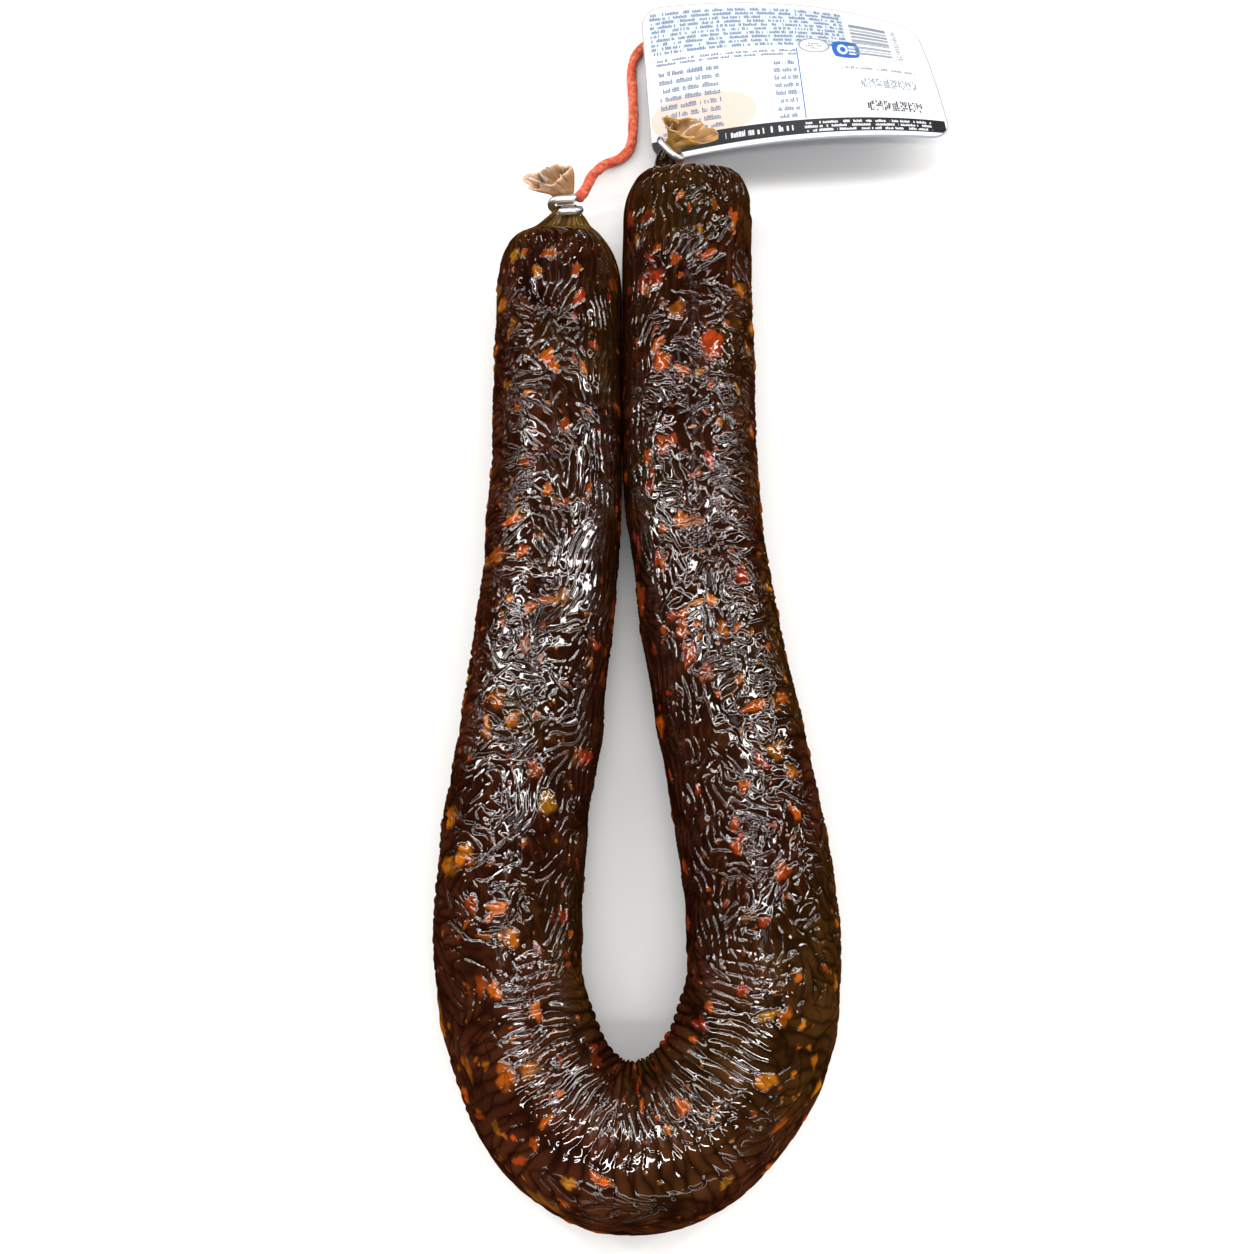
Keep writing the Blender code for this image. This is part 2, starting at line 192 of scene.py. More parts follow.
def addGrain(tree, shader, scale, strength):    # roughens the surface and returns its uneven tint
    grain = addNode(tree, "ShaderNodeGroup", {"Scale": scale, "Strength": strength}, node_tree=grainGroup)
    tree.links.new(grain.outputs["Normal"], shader.inputs["Normal"])
    return grain.outputs["Cloud"]


casing = {    # sizes in mm, angles in degrees
    "around": 336,             # points round each ring
    "drawn": 480,              # places round each ring where wrinkles and flecks are drawn, evenly spaced
    "step": 0.26,              # between rings of the legs and the bend
    "endStep": 0.22,           # between rings of the gathered ends
    "crowd": 0.38,             # how much the points gather on top
    "meanRadius": 15.9,
    "settle": 0.4,             # how far it sinks into its flat strip
    "contact": -1.25,          # where the legs press on each other in x
    "swell": 0.5,              # how far each leg swells to get there
    "contactGap": 0.02,        # between each leg and that place
    "contactStart": 24.0,      # in y
    "contactGrowth": 12.0,     # how far in y the contact takes to grow
    "pastLegs": 14.0,          # how far the contact goes on over the rounded ends
    "midBend": 60.0,           # half the stretch that counts as neither leg
    "topFrom": 14.0,           # height from which a place counts as seen from above
    # middle line of the legs and the bend: x, y, radius
    "body": [
        (-17.2, 86.0, 15.5), (-17.2, 62.0, 15.5), (-17.1, 34.0, 15.7), (-18.9, 4.0, 15.8),
        (-22.0, -27.0, 15.9), (-25.3, -56.0, 15.9), (-25.3, -72.0, 15.7), (-22.7, -86.0, 15.6),
        (-17.4, -98.0, 15.9), (-9.4, -106.8, 16.1), (1.2, -109.8, 16.2), (12.0, -107.0, 16.2),
        (20.8, -98.6, 16.3), (26.6, -87.0, 16.4), (28.9, -73.0, 16.4), (27.9, -54.0, 16.4),
        (23.2, -24.0, 16.2), (18.4, 6.0, 15.8), (15.5, 38.0, 16.0), (15.3, 70.0, 16.1),
        (15.4, 98.0, 16.1),
    ],
    # gathered ends from the leg outwards: x, y, height, half width, half thickness, lean, turn, twist
    "leftEnd": [
        (-17.4, 94.0, 15.5, 14.9, 15.1, 3.0, 0.0, 0.0), (-17.7, 99.0, 16.1, 13.4, 13.9, 9.0, 0.0, 0.0),
        (-17.6, 102.4, 17.0, 11.2, 11.6, 17.0, 0.0, 0.0), (-17.1, 104.4, 18.1, 8.9, 8.2, 28.0, 0.0, 0.0),
        (-16.5, 105.3, 19.1, 6.8, 4.6, 36.0, 0.0, 0.0), (-15.9, 106.3, 20.3, 5.2, 2.3, 40.0, 0.0, 0.0),
        (-15.5, 109.0, 22.6, 2.2, 0.8, 40.0, 4.0, 0.0), (-15.9, 110.6, 24.3, 2.6, 1.2, 44.0, 18.0, 12.0),
        (-17.0, 111.7, 25.9, 3.7, 2.2, 50.0, 36.0, 26.0), (-18.5, 112.6, 27.2, 4.9, 3.0, 56.0, 46.0, 40.0),
        (-20.0, 113.4, 28.4, 5.9, 3.5, 60.0, 52.0, 50.0),
    ],
    "rightEnd": [
        (15.6, 106.0, 15.9, 16.1, 16.0, 2.0, 0.0, 0.0), (15.9, 113.1, 16.3, 15.9, 15.6, 6.0, 0.0, 0.0),
        (16.2, 117.8, 16.9, 14.5, 14.2, 13.0, 0.0, 0.0), (16.2, 121.1, 18.1, 12.2, 11.5, 24.0, 0.0, 0.0),
        (15.4, 122.1, 19.4, 9.6, 8.2, 35.0, 0.0, 0.0), (13.2, 121.4, 20.2, 6.0, 3.8, 42.0, -6.0, 0.0),
        (10.5, 122.1, 22.8, 2.8, 1.2, 44.0, -32.0, 0.0), (11.1, 123.6, 25.2, 2.1, 0.7, 42.0, -52.0, 0.0),
        (12.3, 124.5, 26.7, 2.7, 1.2, 48.0, -50.0, -8.0), (13.7, 125.2, 27.9, 4.2, 2.3, 54.0, -46.0, -18.0),
        (15.0, 125.7, 28.8, 5.6, 3.3, 60.0, -42.0, -28.0), (16.2, 126.1, 29.4, 6.8, 3.9, 64.0, -40.0, -35.0),
    ],
    "neckKnot": (6, 7),        # which row of each end the clip holds
    "bendKnots": (6, 14),
}


def naturalSpline(rows, along, at):
    count = len(rows)
    gap = np.diff(along)
    system = np.eye(count)
    wanted = np.zeros_like(rows)
    for i in range(1, count - 1):
        system[i, i - 1:i + 2] = gap[i - 1], 2.0 * (gap[i - 1] + gap[i]), gap[i]
        wanted[i] = 6.0 * ((rows[i + 1] - rows[i]) / gap[i] - (rows[i] - rows[i - 1]) / gap[i - 1])
    second = np.linalg.solve(system, wanted)
    i = np.clip(np.searchsorted(along, at) - 1, 0, count - 2)
    width = gap[i][:, None]
    low = (along[i + 1] - at)[:, None] / width
    high = (at - along[i])[:, None] / width
    cubicLow = (low**3 - low) * width**2 / 6.0
    cubicHigh = (high**3 - high) * width**2 / 6.0
    return low * rows[i] + high * rows[i + 1] + cubicLow * second[i] + cubicHigh * second[i + 1]


def chordLengths(points):
    return np.concatenate([[0.0], np.cumsum(np.linalg.norm(np.diff(points, axis=0), axis=1))])


def layCasing():    # every ring's middle, axes and half sizes from the left tail's rim to the right tail's
    body = [(x, y, r - casing["settle"], r, r, 0.0, 0.0, 0.0) for x, y, r in casing["body"]]
    knots = np.array(casing["leftEnd"][::-1] + body + casing["rightEnd"])
    along = chordLengths(knots[:, :3])
    firstLeg = len(casing["leftEnd"])
    lastLeg = firstLeg + len(body) - 1
    spans = [(0.0, along[firstLeg], casing["endStep"]), (along[firstLeg], along[lastLeg], casing["step"]),
             (along[lastLeg], along[-1], casing["endStep"])]
    stretches = [np.linspace(a, b, int(round((b - a) / step)), endpoint=False) for a, b, step in spans]
    at = np.concatenate(stretches + [along[-1:]])
    rows = naturalSpline(knots, along, at)
    outward = (at > along[lastLeg]).astype(float) - (at < along[firstLeg])
    heading = np.gradient(rows[:, :2], axis=0)
    heading /= np.linalg.norm(heading, axis=1)[:, None]
    pastLeg = outward != 0.0
    heading[pastLeg] = np.stack([np.zeros(pastLeg.sum()), outward[pastLeg]], axis=1)
    sign = np.where(pastLeg, outward, 1.0)
    lean, turn, twist = np.radians(rows[:, 5:]).T
    x, y = (heading * sign[:, None]).T
    x, y = x * np.cos(turn) - y * np.sin(turn), x * np.sin(turn) + y * np.cos(turn)
    flat = np.stack([x, y, 0.0 * x], axis=1)
    upright = np.array((0.0, 0.0, 1.0))
    direction = sign[:, None] * (flat * np.cos(lean)[:, None] + upright * np.sin(lean)[:, None])
    up = upright * np.cos(lean)[:, None] - flat * np.sin(lean)[:, None]
    side = np.cross(direction, up)
    twist = (twist * sign)[:, None]
    turnedSide = side * np.cos(twist) + up * np.sin(twist)
    return {
        "at": at, "centre": rows[:, :3], "half": rows[:, 3:5], "direction": direction, "side": turnedSide,
        "up": np.cross(turnedSide, direction),
        "legs": (along[firstLeg], along[lastLeg]),
        "bend": (along[firstLeg + casing["bendKnots"][0]], along[firstLeg + casing["bendKnots"][1]]),
        "necks": (along[firstLeg - 1 - casing["neckKnot"][0]], along[lastLeg + 1 + casing["neckKnot"][1]]),
    }


def frequencies(shape, wave):    # cycles in one wave, along the casing and around it
    perStep = (casing["step"], 2.0 * math.pi * casing["meanRadius"] / shape[1])
    along = np.fft.fftfreq(shape[0], perStep[0])[:, None]
    around = np.fft.rfftfreq(shape[1], perStep[1])[None, :]
    return along * wave, around * wave


# Noise of one wavelength, drawn out into streaks. Heading 0 is along the casing, a quarter turn is around it.
def streakNoise(shape, heading, name):
    want = relief[name]
    along, around = frequencies(shape, want["wave"])
    spectrum = np.fft.rfft2(np.random.default_rng(want["seed"]).standard_normal(shape))
    band = np.exp(-((np.hypot(along, around) - 1.0) / want["spread"]) ** 2)
    total, share = np.zeros(shape), np.zeros(shape)
    for turn in np.arange(relief["turns"]) * math.pi / relief["turns"]:
        kernel = band * np.exp(-((along * math.cos(turn) + around * math.sin(turn)) * want["slim"]) ** 2)
        kernel /= math.sqrt(np.mean(kernel**2))
        weight = np.cos(heading - turn) ** relief["turnHold"]
        total += weight * np.fft.irfft2(spectrum * kernel, s=shape)
        share += weight
    return total / share / (total / share).std()


def softNoise(shape, wave, seed):    # smooth uneven field, about -1 to 1, with features of that size in mm
    along, around = frequencies(shape, wave)
    kernel = np.exp(-(along**2 + around**2) * 2.0)
    noise = np.random.default_rng(seed).standard_normal(shape)
    field = np.fft.irfft2(np.fft.rfft2(noise) * kernel, s=shape)
    return field / field.std() * 0.5


def drift(shape, name):
    wave, seed, strength = drifts[name]
    return strength * softNoise(shape, wave, seed)


def grown(field, name):    # how far a field is past the edge of that name, from 0 to 1
    return smoothStep(field, *edges[name])


def between(at, low, full, fading, gone):    # 1 on a stretch of the casing, 0 before and past it
    return smoothStep(at, low, full) * (1.0 - smoothStep(at, fading, gone))


def creased(shape, heading, name):    # rounded pillows that meet in narrow valleys where a noise passes zero
    return np.sqrt(streakNoise(shape, heading, name) ** 2 + relief["valley"] ** 2)


def raised(shape, heading, name):    # 1 on the lines where a noise passes zero, less beside them
    return np.exp(-(streakNoise(shape, heading, name) / relief[name]["width"]) ** 2)


relief = {    # lengths, heights and depths in mm, slim is how drawn out the streaks are, turn is in radians
    "plates": {"wave": 4.4, "spread": 0.22, "slim": 3.4, "seed": 5},
    "crossing": {"wave": 6.8, "spread": 0.3, "slim": 1.6, "seed": 6, "turn": 0.4, "gain": 1.3, "rise": 0.12},
    "veins": {"wave": 5.6, "spread": 0.22, "slim": 3.2, "seed": 15, "width": 0.36},
    "sideVeins": {"wave": 10.5, "spread": 0.3, "slim": 2.2, "seed": 16, "width": 0.36, "turn": 1.4},
    "threads": {"wave": 3.7, "spread": 0.25, "slim": 4.4, "seed": 17, "width": 0.36},
    "folds": {"wave": 8.0, "spread": 0.4, "slim": 3.0, "seed": 11, "width": 0.35},
    "pleats": {"wave": 5.0, "spread": 0.25, "slim": 7.5, "seed": 61},
    "innerPleats": {"wave": 7.0, "spread": 0.3, "slim": 6.0, "seed": 62},
    "strands": {"wave": 6.2, "spread": 0.4, "slim": 12.0, "seed": 51},
    "valley": 0.08,
    "plateHeight": 0.30,
    "veinHeight": 0.24,
    "foldDepth": 0.30,
    "pleatDepth": 0.8,         # at the bend's inner side
    "gatherDepth": 0.09,       # as a share of the ring's half width
    "levels": {"pillows": 0.6, "vein": 0.4, "pleats": 0.7, "strands": 0.7},    # of each on the plain tube
    "fullness": 1.2,           # how round the pillows and pleats are
    "strandFullness": 0.9,
    "uncut": (0.9, 0.35, 1.5),    # how much longer the plates run inwards, outwards and near the clips
    "flankRise": 1.1,          # how much higher the plates are outwards
    "bendRise": 0.2,           # how much higher they are in the bend
    "inwardVeins": 0.9,        # how much higher the veins are inwards
    "sway": (0.25, 1.5),       # how much the wrinkles sway everywhere, and how much more on the crest
    "calmEnds": 0.8,           # how much of their turning the ends of the legs take away
    "smoothPlates": 0.6,       # what is left on the smooth patches
    "smoothVeins": 0.3,
    "innerFolds": 0.25,        # what is left of the folds inwards
    "outerPleats": 0.35,       # what is left of the pleats outwards
    "pleatCover": 0.9,         # how much of the plates the pleats take away
    "gatherCover": 0.85,       # how much of the wrinkles the gathered ends take away
    "fleckCover": (0.25, 0.8),    # flecks that rise more than that take away so much
    "veinRidge": (0.22, 0.55),    # how much of a ridge the skin between veins counts as, and a vein over it, for the painted highlight
    "foldShade": 0.8,          # how much of a ridge a fold takes away, as painted shade in the folds
    "shrink": 0.1,             # of the whole skin, so that its ridges end near the plain tube
    "turns": 8,                # how many headings each noise of streaks is mixed from
    "turnHold": 12,            # the higher, the fewer of them count at each place
}

drifts = {    # soft uneven fields: size of their features in mm, seed, strength
    "leaning": (10.0, 31, 0.5),
    "tilt": (9.0, 32, 4.0),
    "sway": (7.0, 33, 1.0),
    "crossingSway": (7.0, 34, 1.1),
    "veinSway": (8.0, 35, 0.8),
    "pleatSway": (9.0, 36, 0.12),
    "rimSway": (8.0, 37, 1.6),
    "patches": (7.0, 41, 1.0),
    "olive": (22.0, 44, 1.0),
    "sideVeins": (9.0, 46, 1.0),
    "lumps": (14.0, 21, 0.3),
    "swells": (5.5, 22, 0.11),
}

edges = {    # where a share starts to grow and where it is full
    "bend": (-10.0, 18.0),           # in mm along the casing, from each end of the bend
    "ends": (2.0, 24.0),             # in mm along each leg, as the next one
    "gather": 4.0,
    "crosswiseLegs": (-0.25, 0.6),   # over the casing, from -1 on its inner side to 1 on its outer side
    "crosswiseBend": (0.35, 0.9),
    "crosswiseGather": (0.05, 0.35),
    "crest": (0.2, 0.7),
    "rim": (0.5, 0.9),
    "uncutInner": (0.05, 0.6),
    "uncutOuter": (0.4, 0.9),
    "inwards": (-0.5, -0.15),
    "inner": (0.2, 0.9),
    "outwards": (0.55, 0.85),
    "pleatEnd": (0.45, 1.0),
    "sideVeins": (-0.3, 0.3),
    "patches": (-0.5, 0.35),
    "calm": (0.25, 0.65),
    "flankRise": (0.45, 0.9),
    "folds": (-0.1, 0.6),
    "gathered": (0.02, 0.6),
    "pressed": (0.8, 0.98),
    "flank": (0.1, 0.4),
    "glint": (0.2, 0.6),
    "low": (0.0, 0.5),
    "lift": (0.35, 0.8),
    "olive": (-0.2, 0.9),
    "oliveEnds": (0.6, 1.0),
}

# Pieces of fat and paprika under the skin: plan x, y, length, width, turn, tone (0 amber to 1 red), rise
chunks = [
    (19.9, 64.3, 8.6, 6.8, 20.0, 0.86, 0.7),
    (7.7, 60.6, 6.4, 4.6, 5.0, 0.62, 0.35),
    (-18.0, 28.1, 3.2, 2.6, 0.0, 0.35, 0.3),
    (-25.9, 21.2, 6.5, 2.2, 70.0, 0.55, 0.2),
    (13.6, -10.5, 6.0, 3.4, 30.0, 0.8, 0.3),
    (27.1, -22.2, 7.0, 2.6, 80.0, 0.6, 0.25),
    (-26.2, -79.8, 3.6, 3.0, 20.0, 0.45, 0.35),
    (-18.4, 60.7, 3.4, 2.8, 10.0, 0.7, 0.2),
    (-11.2, 78.0, 6.0, 2.4, 30.0, 0.85, 0.2),
    (22.2, -47.3, 3.2, 2.6, 0.0, 0.8, 0.35),
    (22.5, -51.4, 3.6, 2.8, 0.0, 0.8, 0.3),
    (-17.2, 1.6, 5.0, 1.8, 75.0, 0.4, 0.2),
    (-34.1, -53.1, 6.5, 4.0, 30.0, 0.25, 0.2),
    (-26.3, -63.9, 5.5, 2.8, 80.0, 0.45, 0.25),
    (-5.1, -114.3, 4.4, 2.0, 10.0, 0.6, 0.2),
]

scatter = {    # small flecks, sizes in mm
    "count": 1500,
    "seed": 8,
    "size": (0.35, 2.8),
    "smallShare": 3.0,         # the higher, the rarer the large ones
    "slim": (0.3, 1.0),
    "depth": (0.25, 1.0),
    "tone": (0.55, 0.3, 0.25),    # on top, how much redder inwards and more amber outwards, and its spread
    "turnSpread": 25.0,
    "rise": 0.12,              # as a share of the size
    "pastLegs": 8.0,           # how far they go on over the rounded ends
    "reach": 0.85,             # how much of the skin round a fleck it may cover, in its lengths
    "leastStep": 0.1,          # between rings or columns
    "edge": (0.55, 1.05),      # how softly it ends
    "dome": 0.6,
    "ragged": ((2, 0.14), (3, 0.16), (5, 0.12), (8, 0.06)),    # waves round a fleck's edge and their swing
    "calmFrom": 4.0,           # longer flecks have a calmer edge
}


def dropChunk(fields, rings, row, column, length, width, turn, tone, rise, draw, depth):
    along = np.linalg.norm(rings["centre"][min(row + 1, len(rings["at"]) - 1)] - rings["centre"][row])
    around = 2.0 * math.pi * rings["half"][row].mean() / casing["drawn"]
    reach = scatter["reach"] * max(length, width)
    up, over = (int(reach / max(step, scatter["leastStep"])) + 1 for step in (along, around))
    rowsNear = np.arange(max(row - up, 0), min(row + up + 1, len(rings["at"])))
    columnsNear = np.arange(column - over, column + over + 1)
    a = (rowsNear - row)[:, None] * along
    b = (columnsNear - column)[None, :] * around
    turn = math.radians(turn)
    u = (a * math.cos(turn) + b * math.sin(turn)) * 2.0 / length
    v = (-a * math.sin(turn) + b * math.cos(turn)) * 2.0 / width
    ragged = sum(swing * np.cos(waves * np.arctan2(v, u) + draw.uniform(*anyPhase))
                 for waves, swing in scatter["ragged"])
    away = np.hypot(u, v) / (1.0 + ragged * min(1.0, scatter["calmFrom"] / length))
    inside = (1.0 - smoothStep(away, *scatter["edge"])) * depth
    dome = np.clip(1.0 - away**2, 0.0, 1.0) ** scatter["dome"]
    spot = np.ix_(rowsNear, columnsNear % casing["drawn"])
    stronger = inside > fields["fleck"][spot]
    fields["tone"][spot] = np.where(stronger, tone, fields["tone"][spot])
    fields["fleck"][spot] = np.maximum(fields["fleck"][spot], inside)
    fields["rise"][spot] = np.maximum(fields["rise"][spot], rise * dome)


def nearestRing(shell, x, y):    # the row and column nearest to a place in the layout plan
    gap = np.hypot(shell[:, :, 0] - x, shell[:, :, 1] - y)
    gap[shell[:, :, 2] < casing["topFrom"]] = np.inf
    return np.unravel_index(np.argmin(gap), gap.shape)


def scatterFlecks(rings, heading, outer):    # how much of a fleck lies at each place, its tone and its rise
    fields = {name: np.zeros(heading.shape) for name in ("fleck", "tone", "rise")}
    draw = np.random.default_rng(scatter["seed"])
    start, end = rings["legs"]
    past = scatter["pastLegs"]
    legRows = np.flatnonzero((rings["at"] > start - past) & (rings["at"] < end + past))
    smallest, largest = scatter["size"]
    tone, reddening, spread = scatter["tone"]
    for _ in range(scatter["count"]):
        row = int(draw.choice(legRows))
        column = int(draw.integers(casing["drawn"]))
        size = smallest + (largest - smallest) * draw.random() ** scatter["smallShare"]
        slim = draw.uniform(*scatter["slim"])
        shade = np.clip(draw.normal(tone - reddening * outer[row, column], spread), 0.0, 1.0)
        turn = math.degrees(heading[row, column]) + draw.normal(0.0, scatter["turnSpread"])
        dropChunk(fields, rings, row, column, 2.0 * size, 2.0 * size * slim, turn, shade,
                  scatter["rise"] * size, draw, draw.uniform(*scatter["depth"]))
    bare = pourShell(rings, np.zeros(heading.shape), drawnAngles())
    for x, y, length, width, turn, tone, rise in chunks:
        dropChunk(fields, rings, *nearestRing(bare, x, y), length, width, turn, tone, rise, draw, 1.0)
    return fields


def ringAngles():    # from the outer side down, under and up again, with more points on top
    angles = -2.0 * math.pi * np.arange(casing["around"]) / casing["around"]
    return angles + casing["crowd"] * np.cos(angles)


def drawnAngles():
    return -2.0 * math.pi * np.arange(casing["drawn"]) / casing["drawn"]


def onRings(field):    # a drawn field at the mesh's own angles, by cubic interpolation
    place = -ringAngles() / (2.0 * math.pi) * casing["drawn"]
    low = np.floor(place).astype(int)
    t = place - low
    weights = (-t + 2.0 * t**2 - t**3, 2.0 - 5.0 * t**2 + 3.0 * t**3,
               t + 4.0 * t**2 - 3.0 * t**3, t**3 - t**2)
    return sum(0.5 * weight[None, :] * field[:, (low + i - 1) % casing["drawn"]]
               for i, weight in enumerate(weights))


def pourShell(rings, height, angles):    # ring points in the layout plan for a given relief, in mm
    wide, thick = rings["half"][:, 0:1], rings["half"][:, 1:2]
    across = (wide + height) * np.cos(angles)
    above = (thick + height * thick / wide) * np.sin(angles)
    shell = (rings["centre"][:, None, :] + across[:, :, None] * rings["side"][:, None, :]
             + above[:, :, None] * rings["up"][:, None, :])
    shell[:, :, 2] = np.maximum(shell[:, :, 2], 0.0)
    at, halfway = rings["at"], 0.5 * rings["at"][-1]
    start, end = rings["legs"]
    pressing = (rings["centre"][:, 1] > casing["contactStart"]) & (np.abs(at - halfway) > casing["midBend"])
    pressing &= (at > start - casing["pastLegs"]) & (at < end + casing["pastLegs"])
    first, second = pressing & (at < halfway), pressing & (at >= halfway)
    shell[first, :, 0] = np.minimum(shell[first, :, 0], casing["contact"] - casing["contactGap"])
    shell[second, :, 0] = np.maximum(shell[second, :, 0], casing["contact"] + casing["contactGap"])
    return shell


def casingZones(rings, shape):    # where each kind of wrinkle lies, as fields from 0 to 1
    at = rings["at"][:, None]
    whole = np.zeros(shape)
    outer = np.cos(drawnAngles()) + whole       # 1 on the horseshoe's outer side, -1 on its inner side
    top = np.sin(drawnAngles()) + whole
    start, end = rings["bend"]
    low, full = edges["bend"]
    bend = between(at, start + low, start + full, end - full, end - low) + whole
    start, end = rings["legs"]
    low, full = edges["ends"]
    ends = 1.0 - between(at, start + low, start + full, end - full, end - low) + whole
    past = edges["gather"]
    gather = 1.0 - between(at, rings["necks"][0], start + past, end - past, rings["necks"][1]) + whole
    leaning = outer + drift(shape, "leaning")
    crosswise = (1.0 - bend) * grown(leaning, "crosswiseLegs")
    crosswise = crosswise + bend * (1.0 - grown(leaning, "crosswiseBend"))
    crosswise = crosswise * (1.0 - grown(gather, "crosswiseGather"))
    crest = grown(1.0 - np.abs(leaning), "crest") * (1.0 - bend) * (1.0 - gather)
    tilt = np.tanh(drift(shape, "tilt"))    # which way it turns from lengthwise to crosswise
    leastSway, crestSway = relief["sway"]
    heading = tilt * crosswise * math.pi / 2.0 + (leastSway + crestSway * crest) * drift(shape, "sway")
    heading = heading * (1.0 - relief["calmEnds"] * ends)
    heading = heading + bend * grown(leaning, "rim") * drift(shape, "rimSway")
    return {"outer": outer, "top": top, "bend": bend, "gather": gather, "ends": ends, "leaning": leaning,
            "heading": heading}


def wrinklePatterns(shape, zones):    # each kind of wrinkle all over the casing, and where each counts
    heading, leaning, ends = zones["heading"], zones["leaning"], zones["ends"]
    plates = creased(shape, heading, "plates")
    crossing = creased(shape, heading + drift(shape, "crossingSway") + relief["crossing"]["turn"], "crossing")
    uncutInner, uncutOuter, uncutEnds = relief["uncut"]
    uncut = uncutInner * grown(-leaning, "uncutInner") + uncutOuter * grown(leaning, "uncutOuter")
    uncut = relief["crossing"]["rise"] + uncut + uncutEnds * ends
    bent = heading + drift(shape, "veinSway")
    sideVein = raised(shape, bent + relief["sideVeins"]["turn"], "sideVeins")
    vein = np.maximum(raised(shape, bent, "veins"), sideVein * grown(drift(shape, "sideVeins"), "sideVeins"))
    inwards = np.maximum(1.0 - grown(leaning, "inwards"), ends)
    across = 0.5 * math.pi + drift(shape, "pleatSway")
    full = relief["fullness"]
    pleats, innerPleats = (np.tanh(full * creased(shape, across, name)) for name in ("pleats", "innerPleats"))
    inner = grown(-leaning, "inner")
    straight = (1.0 - zones["bend"]) * (1.0 - zones["gather"])
    return {
        "pillows": np.tanh(full * np.minimum(plates, relief["crossing"]["gain"] * crossing + uncut)),
        "vein": vein * (1.0 - inwards) + raised(shape, heading, "threads") * inwards,    # thin raised folds
        "folds": raised(shape, heading, "folds"),
        "pleats": (1.0 - inner) * pleats + inner * innerPleats,
        "strands": np.tanh(relief["strandFullness"] * creased(shape, np.zeros(shape), "strands")),
        "patches": grown(drift(shape, "patches"), "patches"),    # some patches stay smooth
        "inwards": inwards,
        "inner": inner,
        "middle": (1.0 - grown(leaning, "outwards")) * straight,
        "pleatShare": zones["bend"] * (1.0 - grown(leaning, "pleatEnd")),
    }


def leastOf(name, share):    # from what is always left to the whole
    return relief[name] + (1.0 - relief[name]) * share


def wrinkleHeight(rings, zones, made, flecks):    # of the skin over the plain tube, in mm
    outer, bend, gather, leaning = zones["outer"], zones["bend"], zones["gather"], zones["leaning"]
    middle, patches, pleatShare = made["middle"], made["patches"], made["pleatShare"]
    over = {name: made[name] - level for name, level in relief["levels"].items()}
    proud, cover = relief["fleckCover"]
    wrinkled = 1.0 - cover * flecks["fleck"] * (flecks["rise"] > proud)
    wrinkled = wrinkled * (1.0 - relief["gatherCover"] * grown(gather, "calm"))
    height = (drift(outer.shape, "lumps") + drift(outer.shape, "swells")) * (1.0 - gather) - relief["shrink"]
    plated = (1.0 - middle) * (1.0 - relief["pleatCover"] * pleatShare) * leastOf("smoothPlates", patches)
    plated = plated * (1.0 + relief["bendRise"] * bend)
    plated = plated * (1.0 + relief["flankRise"] * grown(leaning, "flankRise"))
    height += relief["plateHeight"] * over["pillows"] * wrinkled * plated
    veined = (1.0 + relief["inwardVeins"] * made["inwards"]) * middle * leastOf("smoothVeins", patches)
    height += relief["veinHeight"] * over["vein"] * wrinkled * veined
    folded = leastOf("innerFolds", grown(leaning, "folds") * (1.0 - bend))
    height -= relief["foldDepth"] * made["folds"] * wrinkled * folded
    height += relief["pleatDepth"] * leastOf("outerPleats", made["inner"]) * over["pleats"] * pleatShare
    gathered = grown(gather, "gathered") * relief["gatherDepth"] * rings["half"][:, 0:1]
    height += gathered * over["strands"]
    height += flecks["rise"] * (1.0 - gather)
    contactEnd = casing["contactStart"] + casing["contactGrowth"]
    pressed = smoothStep(rings["centre"][:, 1:2], casing["contactStart"], contactEnd)
    pressed = pressed * grown(-outer, "pressed")
    return height * (1.0 - pressed) + casing["swell"] * pressed


def wrinkleRidges(zones, made):    # 0 in the valleys and 1 on the ridges, for painted shade in the valleys and painted highlight on the ridges
    middle, pleatShare, gather = made["middle"], made["pleatShare"], zones["gather"]
    flat, veined = relief["veinRidge"]
    crests = made["pillows"] * (1.0 - middle) + (flat + veined * made["vein"]) * middle
    crests = crests * (1.0 - pleatShare) + made["pleats"] * pleatShare
    crests = np.clip(crests * (1.0 - relief["foldShade"] * made["folds"]), 0.0, 1.0)
    return crests * (1.0 - gather) + gather * made["strands"]


gloss = {
    "least": 0.03,
    "gain": 0.92,
    "glint": (0.8, 0.3),       # on the inner flanks, and how much of it the second leg's outer flank has
    "dull": (0.36, 0.75),      # where the outer side turns dull
    "dullBend": 0.22,          # how much sooner in the bend
    "dullSecond": 0.12,        # how much later on the second leg
    "dulling": 0.85,
    "lowInner": 0.22,          # how much lower the gloss reaches on the inner side
    "olive": (0.7, -0.2),      # how much more on the shaded sides, and its share
    "secondCone": 0.5,         # how much darker the second leg's cone is
}


